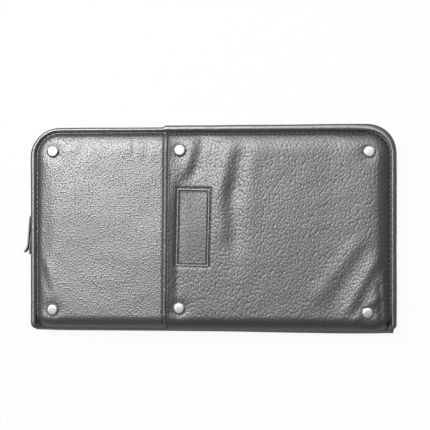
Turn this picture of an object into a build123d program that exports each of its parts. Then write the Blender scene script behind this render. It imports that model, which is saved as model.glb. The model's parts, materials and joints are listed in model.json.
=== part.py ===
"""Leather shears case: a zip-around, book-style padded case, closed, lying on its back cover.

Frame: +X to the right of the front face, +Y away from the spine, +Z up out of the front.
The origin is the middle of the flat face that the case rests on. All sizes are in mm.
The front half is drawn first. The back half is the same shapes mirrored about the zip plane.
"""
from build123d import *
import math
import os

# Overall size of the closed case
CASE_W = 274.0
TOP_Y = 76.5
HINGE_Y = -75.0
CASE_T = 32.0
CORNER_R = 22.0
MID_Z = CASE_T / 2

# Layers of a cover, from the outside inwards
LEATHER_T = 1.4
POCKET_T = 1.2
BOARD_T = 1.6
LINING_T = 0.8
CREASE_Z = 22.0
CREASE_GAP = 0.2
ROLL_R = CASE_T - CREASE_Z
LINING_TOP = 26.0
LINING_ROLL_R = 16.4
LINING_ROLL_DEG = 45.0
TOOL_PANEL_T = 1.2

# Padded crown: how far the leather rises from its seam, and over what width
SEAM_INSET = 4.5
CROWN_RISE = 2.6
CROWN_WIDTH = 16.0
CROWN_POWER = 2.2
CROWN_STEPS = [-1.0, 2.0, 7.0, CROWN_WIDTH]
CROWN_MIN_R = 4.0

# Edge: piping, gusset wall, zip tape
PIPING_R = 2.0
PIPING_SIDES = 10
PIPING_Z = 28.0
PIPING_END_Y = -75.0
FLANGE_T = 0.8
FLANGE_INSET = 4.7
FLANGE_END_Y = -73.5
GUSSET_OUT = 2.4
GUSSET_IN = 3.6
GUSSET_Z = (21.8, PIPING_Z - FLANGE_T)
GUSSET_END_Y = -72.0
TAPE_IN = 4.2
TAPE_TOP_Z = 26.0
STACK_INSET = 4.8

# Zip chain: teeth as seen from the side of the case
TOOTH_PITCH = 3.0
TOOTH_DEPTH = 3.0
TOOTH_REACH = 0.8
TOOTH_FOOT = 1.6
TOOTH_TIP_W = 1.1
TOOTH_FOOT_W = 1.5
CHAIN_END_Y = -65.0
CHAIN_INSET = (GUSSET_IN + TAPE_IN) / 2

# Zip slider on the left side, where the two chains part
SLIDER_Y = 17.0
SLIDER_LEN = 11.0
PARTED = 2.2
PART_START_Y = 22.0
PART_END_Y = 13.6
PLATE_T = 1.0
PLATE_GAP = 0.4
DIAMOND_LEN = 3.6
DIAMOND_HALF = 1.0
BAIL_LEN = 6.0
BAIL_RISE = 2.5
BAIL_W = 1.6
PULL_Y = 18.0
PULL_OUT = 0.75
LINK_LEN = 11.0
LINK_W = 6.6
LINK_BAR = 1.0
LINK_TILT = 10.0
TAB_W = 8.0
TAB_PLY_T = 1.2

# Spine strip between the two creases
SPINE_BULGE = 3.0
SPINE_BOARD_Y = -73.0
SPINE_HALF_X = 135.2
SPINE_INNER_HALF_X = 132.5

# Front face: pocket mouth, label patch, rivets
MOUTH_X = -35.4
POCKET_LOW_Z = 24.0
PATCH_W, PATCH_H, PATCH_T = 24.0, 57.0, 0.9
PATCH_X, PATCH_Y = -13.8, 0.7
RIVET_X = [-119.6, -24.6, 115.2]
RIVET_Y = [57.5, -61.0]
RIVET_R = 4.0
RIVET_TOP_R = 2.4
RIVET_RISE = 1.3
RIVET_SEAT = 0.4
POST_R = 1.5
POST_SIDES = 6
SEAT_SIDES = 12
HOLE_CLEARANCE = 0.05
INNER_CAP_T = 0.9

# Inside: shear channels on the back half, looped elastic on the front half
CHANNELS, CHANNEL_PITCH, CHANNEL_W, CHANNEL_RISE, CHANNEL_T = 4, 32.0, 29.0, 7.6, 1.2
CHANNEL_X = (-45.0, 124.0)
LOOPS, LOOP_PITCH, LOOP_W, LOOP_RISE, LOOP_T = 5, 23.0, 19.0, 5.6, 1.0
BAND_X = [(-75.0, -45.0), (35.0, 65.0)]
INSIDE_Y = 2.0
TOOL_PANEL_X = 123.0
TOOL_PANEL_Y = (-62.0, 66.0)

FAR = 200.0


def outline(inset, low_y, z=0.0):
    """Cover outline, drawn in by `inset`: straight spine side, two rounded corners."""
    half = CASE_W / 2 - inset
    top = TOP_Y - inset
    r = max(CORNER_R - inset, CROWN_MIN_R)
    edges = [
        Line((-half, low_y), (half, low_y)),
        Line((half, low_y), (half, top - r)),
        CenterArc((half - r, top - r), r, 0, 90),
        Line((half - r, top), (r - half, top)),
        CenterArc((r - half, top - r), r, 90, 90),
        Line((-half, top - r), (-half, low_y)),
    ]
    return Pos(0, 0, z) * Face(Wire(edges))


def slab(inset, low_y, z0, z1):
    """Plate with the cover's outline, from z0 to z1."""
    return extrude(outline(inset, low_y, z0), amount=z1 - z0, dir=(0, 0, 1))


def band(outer, inner, low_y, z0, z1):
    """Wall that follows the three open edges, between two insets."""
    return slab(outer, low_y, z0, z1) - slab(inner, low_y - 1, z0 - 1, z1 + 1)


def block(x0, x1, y0, y1, z0, z1):
    """Box between two corners."""
    centre = Pos((x0 + x1) / 2, (y0 + y1) / 2, (z0 + z1) / 2)
    return centre * Box(x1 - x0, y1 - y0, z1 - z0)


def polygon(points):
    """Face with straight edges through points of a drawing plane."""
    return Face(Wire.make_polygon([(a, b, 0) for a, b in points], close=True))


def along_x(face, x0, x1):
    """Extrude a face drawn as (Y, Z) from x0 to x1."""
    return Pos(x0, 0, 0) * extrude(Plane.YZ * face, amount=x1 - x0, dir=(1, 0, 0))


def upward(face, z0, z1):
    """Extrude a face drawn as (X, Y) from z0 to z1."""
    return Pos(0, 0, z0) * extrude(face, amount=z1 - z0, dir=(0, 0, 1))


def mirrored(shape):
    """The same shape on the back half."""
    return mirror(shape, about=Plane.XY.offset(MID_Z))


def crown(depth):
    """All that lies under the cover's surface, `depth` below it: padded crown and rolled spine edge."""
    first = CROWN_STEPS[0]
    levels = [(first, CREASE_Z - 4)]
    for step in CROWN_STEPS:
        share = max(1 - step / CROWN_WIDTH, 0) ** CROWN_POWER
        levels.append((step, CASE_T - CROWN_RISE * share - depth))
    wires = [outline(SEAM_INSET + step, HINGE_Y - 15, z).wire() for step, z in levels]
    pad = Solid.make_loft(wires, ruled=True)
    centre = (HINGE_Y + ROLL_R, CREASE_Z)
    r = ROLL_R - depth
    top = CREASE_Z + r
    profile = Face(Wire([
        CenterArc(centre, r, 90, 90),
        Line((centre[0] - r, CREASE_Z), (centre[0] - r, CREASE_Z - 4)),
        Line((centre[0] - r, CREASE_Z - 4), (FAR, CREASE_Z - 4)),
        Line((FAR, CREASE_Z - 4), (FAR, top)),
        Line((FAR, top), (centre[0], top)),
    ]))
    return pad & along_x(profile, -FAR, FAR)


def lining_core(depth):
    """All that lies inside the lining, `depth` into it. It curls out to meet the rolled edge."""
    y0 = HINGE_Y + ROLL_R + 1
    centre = (y0, LINING_TOP - LINING_ROLL_R)
    r = LINING_ROLL_R - depth
    turn = math.radians(90 + LINING_ROLL_DEG)
    end = (centre[0] + r * math.cos(turn), centre[1] + r * math.sin(turn))
    top = LINING_TOP - depth
    profile = Face(Wire([
        CenterArc(centre, r, 90, LINING_ROLL_DEG),
        Line(end, (end[0], 0)),
        Line((end[0], 0), (FAR, 0)),
        Line((FAR, 0), (FAR, top)),
        Line((FAR, top), (y0, top)),
    ]))
    return along_x(profile, -FAR, FAR)


def cover_layers():
    """Leather, foam, board and lining of one cover, lying on each other."""
    low = HINGE_Y - 10
    z0, z1 = CREASE_Z + CREASE_GAP, CASE_T + 5
    under_leather = crown(LEATHER_T)
    leather = (crown(0) & slab(SEAM_INSET, low, z0, z1)) - under_leather
    inside = under_leather & slab(STACK_INSET, low, z0, z1)
    board = slab(STACK_INSET + 0.5, HINGE_Y + ROLL_R + 1, LINING_TOP, LINING_TOP + BOARD_T)
    foam = inside - lining_core(0) - board
    lining = (inside & lining_core(0)) - lining_core(LINING_T)
    return leather, foam, board, lining


def piping():
    """Round cord in its leather, with the flange that is sewn under the cover's edge."""
    half = CASE_W / 2 - PIPING_R
    top = TOP_Y - PIPING_R
    r = CORNER_R - PIPING_R
    path = Wire([
        Line((-half, PIPING_END_Y), (-half, top - r)),
        CenterArc((r - half, top - r), r, 180, -90),
        Line((r - half, top), (half - r, top)),
        CenterArc((half - r, top - r), r, 90, -90),
        Line((half, top - r), (half, PIPING_END_Y)),
    ])
    start = Plane(origin=(-half, PIPING_END_Y, 0), x_dir=(1, 0, 0), z_dir=(0, 1, 0))
    roll = Pos(0, 0, PIPING_Z) * sweep(start * RegularPolygon(PIPING_R, PIPING_SIDES), path=path)
    return roll + band(PIPING_R, FLANGE_INSET, FLANGE_END_Y, PIPING_Z - FLANGE_T, PIPING_Z)


def parted(y):
    """How far a chain on the left side stands off the zip plane, at height y."""
    share = (PART_START_Y - y) / (PART_START_Y - PART_END_Y)
    share = min(max(share, 0), 1)
    return PARTED * share * share * (3 - 2 * share)


def chain_start(side):
    """Distance of a chain's first tooth from the chain's end. The back chain sits half a pitch on."""
    return 0 if side > 0 else TOOTH_PITCH / 2


def tape(side):
    """Woven tape between gusset and teeth. Its edge swings away where the chains are parted."""
    edge = MID_Z + TOOTH_FOOT
    whole = band(GUSSET_IN, TAPE_IN, GUSSET_END_Y, edge, TAPE_TOP_Z)
    points = [(GUSSET_END_Y - 1, edge - 1), (GUSSET_END_Y - 1, edge + PARTED)]
    y = CHAIN_END_Y + chain_start(side)
    while y < PART_START_Y:
        if y > PART_END_Y - TOOTH_PITCH:
            points += [(y + half, edge + parted(y)) for half in (-TOOTH_FOOT_W / 2, TOOTH_FOOT_W / 2)]
        y += TOOTH_PITCH
    points += [(PART_START_Y + TOOTH_PITCH / 2, edge), (PART_START_Y + TOOTH_PITCH / 2, edge - 1)]
    front = whole - along_x(polygon(points), -CASE_W / 2, -CASE_W / 2 + TAPE_IN + 1)
    return front if side > 0 else mirrored(front)


def chain_place(s):
    """Point and heading at a distance s along the chain, from its lower left end."""
    half = CASE_W / 2 - CHAIN_INSET
    top = TOP_Y - CHAIN_INSET
    r = CORNER_R - CHAIN_INSET
    side = top - r - CHAIN_END_Y
    bend = r * math.pi / 2
    across = 2 * (half - r)
    if s <= side:
        return -half, CHAIN_END_Y + s, 90.0
    s -= side
    if s <= bend:
        turn = 180 - math.degrees(s / r)
        rad = math.radians(turn)
        return r - half + r * math.cos(rad), top - r + r * math.sin(rad), turn - 90
    s -= bend
    if s <= across:
        return r - half + s, top, 0.0
    s -= across
    if s <= bend:
        turn = 90 - math.degrees(s / r)
        rad = math.radians(turn)
        return half - r + r * math.cos(rad), top - r + r * math.sin(rad), turn - 90
    return half, top - r - (s - bend), -90.0


def chain_length():
    """Length of the chain from one lower end to the other."""
    r = CORNER_R - CHAIN_INSET
    side = TOP_Y - CHAIN_INSET - r - CHAIN_END_Y
    return 2 * side + math.pi * r + CASE_W - 2 * CHAIN_INSET - 2 * r


def tooth():
    """One flat-faced tooth of the front chain, its tip a little past the zip plane."""
    tip, foot = TOOTH_TIP_W / 2, TOOTH_FOOT_W / 2
    points = [(-tip, -TOOTH_REACH), (tip, -TOOTH_REACH), (foot, TOOTH_FOOT), (-foot, TOOTH_FOOT)]
    return Rot(0, 0, -90) * along_x(polygon(points), -TOOTH_DEPTH / 2, TOOTH_DEPTH / 2)


def chain(side):
    """Teeth of one chain. side is 1 for the front half, -1 for the back half."""
    one = tooth() if side > 0 else mirror(tooth(), about=Plane.XY)
    start = chain_start(side)
    count = int((chain_length() - start) // TOOTH_PITCH) + 1
    teeth = []
    for i in range(count):
        x, y, heading = chain_place(start + i * TOOTH_PITCH)
        lift = side * parted(y) if x < 0 and heading == 90.0 else 0
        teeth.append(Pos(x, y, MID_Z + lift) * Rot(0, 0, heading) * one)
    return Compound(teeth)


def zip_stops(side):
    """Metal stops at the two ends of one chain."""
    x = CASE_W / 2 - CHAIN_INSET
    half = TOOTH_DEPTH / 2
    y1 = CHAIN_END_Y - TOOTH_PITCH / 2
    low, high = MID_Z + TOOTH_FOOT - 2.2, MID_Z + TOOTH_FOOT
    left = block(-x - half, -x + half, y1 - 2, y1, low + PARTED, high + PARTED)
    right = block(x - half, x + half, y1 - 2, y1, MID_Z + 0.2, high)
    stops = [left, right]
    return Compound(stops if side > 0 else [mirrored(s) for s in stops])


def slider():
    """Slider body: two shield plates, the wedge between the chains, back flanges and the bail."""
    face_out = -CASE_W / 2 + CHAIN_INSET - TOOTH_DEPTH / 2 - PLATE_GAP
    face_in = -CASE_W / 2 + CHAIN_INSET + TOOTH_DEPTH / 2 + PLATE_GAP
    nose, tail = SLIDER_Y - SLIDER_LEN / 2, SLIDER_Y + SLIDER_LEN / 2
    half = MID_Z - 10.8
    shield = [
        (nose, -half + 1.4), (nose + 1.2, -half), (SLIDER_Y + 1, -half), (tail - 1, -half + 1.4),
        (tail, -half + 2.6), (tail, half - 2.6), (tail - 1, half - 1.4), (SLIDER_Y + 1, half),
        (nose + 1.2, half), (nose, half - 1.4),
    ]
    plate = polygon([(y, MID_Z + z) for y, z in shield])
    body = along_x(plate, face_out - PLATE_T, face_out)
    body += along_x(plate, face_in, face_in + PLATE_T)
    wedge = [
        (nose, -0.5), (nose + 0.8, -DIAMOND_HALF), (nose + 1.8, -DIAMOND_HALF), (nose + DIAMOND_LEN, 0),
        (nose + 1.8, DIAMOND_HALF), (nose + 0.8, DIAMOND_HALF), (nose, 0.5),
    ]
    body += along_x(polygon([(y, MID_Z + z) for y, z in wedge]), face_out - 0.2, face_in + 0.2)
    tape_out = -CASE_W / 2 + GUSSET_IN
    tape_in = -CASE_W / 2 + TAPE_IN
    y0, y1 = nose + 1.5, tail - 2.5
    body += block(face_out - 0.2, tape_out - PLATE_GAP, y0, y1, MID_Z - half, MID_Z - half + 1)
    body += block(tape_in + PLATE_GAP, face_in + 0.2, y0, y1, MID_Z - half, MID_Z - half + 1)
    top = face_out - PLATE_T
    low, high = PULL_Y - BAIL_LEN / 2, PULL_Y + BAIL_LEN / 2
    arch = [
        (top + 0.2, low), (top - BAIL_RISE + 1, low), (top - BAIL_RISE, low + 1),
        (top - BAIL_RISE, high - 1), (top - BAIL_RISE + 1, high), (top + 0.2, high),
    ]
    bail = upward(polygon(arch), MID_Z - BAIL_W / 2, MID_Z + BAIL_W / 2)
    hole = block(top - BAIL_RISE + 1, top, low + 1.2, high - 1.2, MID_Z - BAIL_W, MID_Z + BAIL_W)
    return body + (bail - hole)


def pull_axis_x():
    """X of the line that the pull swings about."""
    return -CASE_W / 2 + CHAIN_INSET - TOOTH_DEPTH / 2 - PLATE_GAP - PLATE_T - PULL_OUT


def pull_link():
    """Flat metal loop through the bail, with a round end bar. It hangs a little away from the case."""
    x, bar = pull_axis_x(), LINK_BAR
    z0, z1 = MID_Z - LINK_W / 2, MID_Z + LINK_W / 2
    frame = block(-bar / 2, bar / 2, -LINK_LEN, 0, z0, z1)
    frame -= block(-bar, bar, bar - LINK_LEN, 1, z0 + bar, z1 - bar)
    end_bar = Pos(0, 0, MID_Z) * Cylinder(bar / 2, LINK_W)
    return Pos(x, PULL_Y, 0) * Rot(0, 0, -LINK_TILT) * (frame + end_bar)


def pull_tab():
    """Leather strip folded over the link's lower bar. Its outer ply kicks away at the end."""
    reach = LINK_LEN - LINK_BAR / 2
    tilt = math.radians(LINK_TILT)
    x, y = pull_axis_x() - reach * math.sin(tilt), PULL_Y - reach * math.cos(tilt)
    out = x - LINK_BAR / 2 - TAB_PLY_T
    inner = x + LINK_BAR / 2 + TAB_PLY_T
    outline_points = [
        (x, y + 2.4), (x - 1.1, y + 1.8), (out, y + 0.4), (out - 0.4, y - 4), (out - 1.0, y - 12),
        (out - 1.8, y - 20.4), (out - 3.0, y - 22.8), (out - 4.6, y - 25.0), (out - 3.6, y - 26.2),
        (inner - 3.0, y - 27.4), (inner - 2.6, y - 20), (inner - 1.4, y - 10), (inner, y - 1), (inner - 0.4, y + 1.2),
    ]
    return upward(polygon(outline_points), MID_Z - TAB_W / 2, MID_Z + TAB_W / 2) - pull_link()


def spine():
    """Leather strip, shaped stiffener and lining between the two creases."""
    half = CREASE_Z - CREASE_GAP - MID_Z
    z0, z1 = MID_Z - half, MID_Z + half
    r = (half ** 2 + SPINE_BULGE ** 2) / (2 * SPINE_BULGE)
    centre = Pos(HINGE_Y - SPINE_BULGE + r, MID_Z)
    window = Pos(SPINE_BOARD_Y - FAR / 2, MID_Z) * Rectangle(FAR, 2 * half)
    outer = centre * Circle(r)
    inner = centre * Circle(r - LEATHER_T)
    strip = (outer - inner) & window
    board_window = Pos((HINGE_Y - 3 + SPINE_BOARD_Y) / 2, MID_Z) * Rectangle(
        SPINE_BOARD_Y - HINGE_Y + 3, 2 * half - 1)
    board = inner & board_window
    within = (-SPINE_INNER_HALF_X, SPINE_INNER_HALF_X)
    lining = block(*within, SPINE_BOARD_Y, SPINE_BOARD_Y + LINING_T, z0, z1)
    return along_x(strip, -SPINE_HALF_X, SPINE_HALF_X), along_x(board, *within), lining


def rivet_places():
    """Centre of each rivet and the height that its outer cap sits at."""
    return [
        (x, y, CASE_T - RIVET_SEAT + (POCKET_T if x > MOUTH_X else 0))
        for x in RIVET_X for y in RIVET_Y
    ]


def rivet_cap():
    """Round cap with a broad sloping shoulder, base at z = 0."""
    profile = polygon([(0, 0), (RIVET_R, 0), (RIVET_TOP_R, RIVET_RISE), (0, RIVET_RISE)])
    return revolve(Plane.XZ * profile, axis=Axis.Z)


def post(x, y, z0, z1, clearance=0.0):
    """Rivet post, or the hole that it goes through."""
    return upward(Pos(x, y) * RegularPolygon(POST_R + clearance, POST_SIDES), z0, z1)


def drilled(shape, z0, z1):
    """Shape with a hole at each rivet, between two heights."""
    for x, y, _ in rivet_places():
        shape -= post(x, y, z0, z1, HOLE_CLEARANCE)
    return shape


def seated(shape):
    """Shape pressed in under each outer rivet cap."""
    r = (RIVET_R + HOLE_CLEARANCE) / math.cos(math.pi / SEAT_SIDES)
    for x, y, z in rivet_places():
        shape -= upward(Pos(x, y) * RegularPolygon(r, SEAT_SIDES), z, z + 5)
    return shape


def humps(count, pitch, width, rise, thick):
    """Strip drawn as (Y, Z) on Z = 0 with open humps in a row: the humped part, and its filled outline."""
    r = (width ** 2 / 4 + rise ** 2) / (2 * rise)
    above = Pos(0, FAR / 2) * Rectangle(2 * FAR, FAR)
    length = pitch * count
    strip = Pos(0, thick / 2) * Rectangle(length, thick)
    filled = strip
    for i in range(count):
        centre = Pos((i - (count - 1) / 2) * pitch, rise - r)
        filled += (centre * Circle(r + thick)) & above
    open_strip = filled
    for i in range(count):
        centre = Pos((i - (count - 1) / 2) * pitch, rise - r)
        open_strip -= (centre * Circle(r)) & above
    return open_strip, filled


def shear_pocket_panel():
    """Sewn leather channels for four pairs of shears. Blades go in from the left, the far end is shut."""
    open_strip, filled = humps(CHANNELS, CHANNEL_PITCH, CHANNEL_W, CHANNEL_RISE, CHANNEL_T)
    base = Pos(0, INSIDE_Y, CASE_T - LINING_TOP + LINING_T)
    panel = along_x(open_strip, *CHANNEL_X)
    end = along_x(filled, CHANNEL_X[1] - CHANNEL_T, CHANNEL_X[1])
    return base * (panel + end)


def elastic_band(x0, x1):
    """Elastic strip sewn down in loops on the tool panel."""
    open_strip, _ = humps(LOOPS, LOOP_PITCH, LOOP_W, LOOP_RISE, LOOP_T)
    strip = mirror(along_x(open_strip, x0, x1), about=Plane.XY)
    return Pos(0, INSIDE_Y, LINING_TOP - LINING_T - TOOL_PANEL_T) * strip


def build():
    """All sub-parts by node name."""
    cord = piping()
    leather, foam, board, lining = cover_layers()
    leather -= cord
    gusset = band(GUSSET_OUT, GUSSET_IN, GUSSET_END_Y, *GUSSET_Z) - cord
    low = HINGE_Y - 10
    inner_z = LINING_TOP - LINING_T
    panel_z = inner_z - TOOL_PANEL_T

    pocket = crown(-POCKET_T) & slab(SEAM_INSET, low, POCKET_LOW_Z, CASE_T + 5)
    pocket = (pocket & block(MOUTH_X, FAR, -FAR, FAR, 0, FAR)) - crown(0) - cord
    patch = block(
        PATCH_X - PATCH_W / 2, PATCH_X + PATCH_W / 2, PATCH_Y - PATCH_H / 2, PATCH_Y + PATCH_H / 2,
        CASE_T + POCKET_T, CASE_T + POCKET_T + PATCH_T,
    )
    panel_mid = sum(TOOL_PANEL_Y) / 2
    panel_face = Pos(0, panel_mid, panel_z) * RectangleRounded(
        2 * TOOL_PANEL_X, TOOL_PANEL_Y[1] - TOOL_PANEL_Y[0], CROWN_MIN_R)
    tool_panel = extrude(panel_face, amount=TOOL_PANEL_T)

    caps, bases = [], []
    for x, y, z in rivet_places():
        caps.append(Pos(x, y, z) * rivet_cap())
        inner_cap = Pos(x, y, panel_z - INNER_CAP_T / 2) * Cylinder(RIVET_R, INNER_CAP_T)
        bases.append(inner_cap + post(x, y, panel_z - INNER_CAP_T / 2, z))

    spine_leather, spine_board, spine_lining = spine()
    bands = [elastic_band(*x) for x in BAND_X]
    z0, z1 = panel_z - 1, CASE_T + 5
    return {
        "front_leather": seated(drilled(leather, z0, z1)),
        "outer_pocket_panel": seated(drilled(pocket, z0, z1)),
        "label_patch": patch,
        "front_foam": drilled(foam, z0, z1),
        "front_board": drilled(board, z0, z1),
        "front_lining": drilled(lining, z0, z1),
        "front_gusset": gusset,
        "front_piping": cord,
        "front_zip_tape": tape(1),
        "front_zip_teeth": chain(1),
        "front_zip_stops": zip_stops(1),
        "tool_panel": drilled(tool_panel, z0, z1),
        "left_elastic_band": bands[0],
        "right_elastic_band": bands[1],
        "rivet_caps": Compound(caps),
        "rivet_bases": Compound(bases),
        "spine_leather": spine_leather,
        "spine_board": spine_board,
        "spine_lining": spine_lining,
        "back_leather": mirrored(leather),
        "back_foam": mirrored(foam),
        "back_board": mirrored(board),
        "back_lining": mirrored(lining),
        "back_gusset": mirrored(gusset),
        "back_piping": mirrored(cord),
        "back_zip_tape": tape(-1),
        "back_zip_teeth": chain(-1),
        "back_zip_stops": zip_stops(-1),
        "shear_pocket_panel": shear_pocket_panel(),
        "slider_body": slider(),
        "pull_link": pull_link(),
        "pull_tab": pull_tab(),
    }


os.makedirs("parts", exist_ok=True)
for name, shape in build().items():
    export_step(shape, f"parts/{name}.step")
travel = SLIDER_Y - SLIDER_LEN / 2 - CHAIN_END_Y - 1
print(f"slider travel {travel:.1f} mm, pull axis x {pull_axis_x():.2f} mm, chain {chain_length():.0f} mm")
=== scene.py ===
"""Leather shears case, closed on a pale floor: padded covers, slip pocket, piping, zip, spine and inside.

Everything is in metres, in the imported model's own frame: +X along the spine, +Y away from it, +Z up.
"""
import json
import math

import bmesh
import bpy
from bpy.props import FloatProperty, FloatVectorProperty, PointerProperty
from mathutils import Matrix, Vector, noise


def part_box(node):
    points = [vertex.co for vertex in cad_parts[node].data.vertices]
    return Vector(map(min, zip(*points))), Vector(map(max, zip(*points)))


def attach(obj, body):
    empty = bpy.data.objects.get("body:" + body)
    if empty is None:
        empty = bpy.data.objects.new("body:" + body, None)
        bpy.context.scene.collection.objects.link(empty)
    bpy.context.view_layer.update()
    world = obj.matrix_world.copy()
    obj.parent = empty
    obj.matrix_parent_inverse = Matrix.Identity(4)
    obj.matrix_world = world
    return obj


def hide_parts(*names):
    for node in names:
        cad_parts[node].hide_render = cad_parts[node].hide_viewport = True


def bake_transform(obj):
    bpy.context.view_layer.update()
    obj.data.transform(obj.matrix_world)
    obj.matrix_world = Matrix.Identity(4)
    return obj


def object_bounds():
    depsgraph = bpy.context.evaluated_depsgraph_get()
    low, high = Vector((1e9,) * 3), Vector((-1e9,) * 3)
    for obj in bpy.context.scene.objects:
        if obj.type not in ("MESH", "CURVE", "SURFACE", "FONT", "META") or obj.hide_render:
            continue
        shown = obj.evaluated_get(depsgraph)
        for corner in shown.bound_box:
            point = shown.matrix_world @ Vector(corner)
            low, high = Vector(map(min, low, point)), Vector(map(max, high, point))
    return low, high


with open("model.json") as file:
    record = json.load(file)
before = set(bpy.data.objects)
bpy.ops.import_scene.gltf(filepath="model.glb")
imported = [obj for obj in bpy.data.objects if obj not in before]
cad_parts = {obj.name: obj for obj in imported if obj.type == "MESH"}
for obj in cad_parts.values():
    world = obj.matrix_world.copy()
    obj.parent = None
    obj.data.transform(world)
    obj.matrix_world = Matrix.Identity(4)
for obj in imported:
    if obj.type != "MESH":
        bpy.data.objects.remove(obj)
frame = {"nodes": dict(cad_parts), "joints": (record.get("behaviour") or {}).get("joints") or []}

bl_info = {
    "name": "Leather Shears Case",
    "version": (1, 0, 0),
    "blender": (4, 5, 0),
    "location": "3D View > Sidebar > Shears Case",
    "description": "Builds the finished pieces of a zip-around leather shears case",
    "category": "Add Mesh",
}

MM = 0.001
CAD_BOX = [list(corner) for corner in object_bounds()]

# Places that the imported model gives
PIPING_LOW, PIPING_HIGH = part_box("front_piping")
POCKET_LOW, POCKET_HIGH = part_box("outer_pocket_panel")
PATCH_LOW, PATCH_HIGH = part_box("label_patch")
GUSSET_LOW, GUSSET_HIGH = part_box("front_gusset")
TAPE_LOW, TAPE_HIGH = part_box("front_zip_tape")
TEETH_LOW, TEETH_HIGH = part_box("front_zip_teeth")
CAPS_LOW, CAPS_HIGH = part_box("rivet_caps")
BASES_LOW, BASES_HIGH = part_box("rivet_bases")
BOARD_LOW, BOARD_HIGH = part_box("front_board")
LINING_LOW, LINING_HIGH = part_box("front_lining")
SPINE_LOW, SPINE_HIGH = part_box("spine_leather")
SPINE_LINING_LOW, SPINE_LINING_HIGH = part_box("spine_lining")
PANEL_LOW, PANEL_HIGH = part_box("tool_panel")
SHEAR_LOW, SHEAR_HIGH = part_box("shear_pocket_panel")
SLIDER_LOW, SLIDER_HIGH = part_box("slider_body")
TAB_LOW, TAB_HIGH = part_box("pull_tab")
LINK_LOW, LINK_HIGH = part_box("pull_link")
JOINTS = {joint["name"]: joint for joint in frame["joints"]}

HALF_W = PIPING_HIGH.x
TOP_Y = PIPING_HIGH.y
PIPING_R = (PIPING_HIGH.z - PIPING_LOW.z) / 2
PIPING_Z = (PIPING_HIGH.z + PIPING_LOW.z) / 2
HINGE_Y = JOINTS["spine_fold"]["pos_m"][1]
BACK_CREASE_Z = JOINTS["spine_fold"]["pos_m"][2]
FRONT_CREASE_Z = JOINTS["cover_fold"]["pos_m"][2]
MID_Z = (BACK_CREASE_Z + FRONT_CREASE_Z) / 2
CASE_T = 2 * MID_Z
ROLL_R = CASE_T - FRONT_CREASE_Z
ROLL_Y = HINGE_Y + ROLL_R
MOUTH_X = POCKET_LOW.x
POCKET_T = POCKET_HIGH.z - CASE_T
RIVET_R = 4.0 * MM
RIVET_SEAT_Z = CAPS_LOW.z
RIVET_X = (CAPS_LOW.x + RIVET_R, MOUTH_X + 10.8 * MM, CAPS_HIGH.x - RIVET_R)
RIVET_Y = (CAPS_HIGH.y - RIVET_R, CAPS_LOW.y + RIVET_R)
# Rivets set by hand stand a little off their rows, in mm
RIVET_DRIFT = [(0.0, 0.2), (-0.3, -0.5), (1.2, 0.6), (0.6, 1.2), (1.7, -1.0), (0.4, -1.4)]
RIVET_ROWS = [(x, y) for x in RIVET_X for y in RIVET_Y]
RIVET_PLACES = [(x + dx * MM, y + dy * MM) for (x, y), (dx, dy) in zip(RIVET_ROWS, RIVET_DRIFT)]


class ShearsCaseSizes(bpy.types.PropertyGroup):
    """Sizes of the case's soft parts and stitching."""

    corner_radius: FloatProperty(
        name="Corner Radius", description="Outer radius of the two rounded corners",
        default=22.0 * MM, min=0.005, unit="LENGTH")
    seam_inset: FloatProperty(
        name="Seam Inset", description="Distance of the cover's seam from the outer edge",
        default=4.5 * MM, min=0.001, unit="LENGTH")
    crown_rise: FloatProperty(
        name="Crown Rise", description="How far the padded cover rises from its seam",
        default=2.6 * MM, min=0.0, unit="LENGTH")
    crown_width: FloatProperty(
        name="Crown Width", description="Width over which the cover rises",
        default=16.0 * MM, min=0.001, unit="LENGTH")
    crown_power: FloatProperty(
        name="Crown Power", description="Steepness of the rise beside the seam",
        default=2.2, min=1.0)
    groove_depth: FloatProperty(
        name="Groove Depth", description="Depth of the sewn groove beside the piping",
        default=2.0 * MM, min=0.0, unit="LENGTH")
    stitch_inset: FloatProperty(
        name="Stitch Inset", description="Distance of the stitch line from the seam",
        default=1.4 * MM, min=0.0, unit="LENGTH")
    stitch_pitch: FloatProperty(
        name="Stitch Pitch", description="Distance from one stitch to the next",
        default=3.65 * MM, min=0.001, unit="LENGTH")
    stitch_length: FloatProperty(
        name="Stitch Length", description="Length of thread that shows in one stitch",
        default=2.9 * MM, min=0.0005, unit="LENGTH")
    thread_width: FloatProperty(
        name="Thread Width", description="Thickness of the sewing thread",
        default=0.75 * MM, min=0.0001, unit="LENGTH")
    fold_scale: FloatProperty(
        name="Fold Scale", description="Strength of the soft folds in the leather",
        default=1.0, min=0.0, max=3.0)
    tooth_pitch: FloatProperty(
        name="Tooth Pitch", description="Distance between the teeth of one chain",
        default=3.0 * MM, min=0.001, unit="LENGTH")


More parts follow.
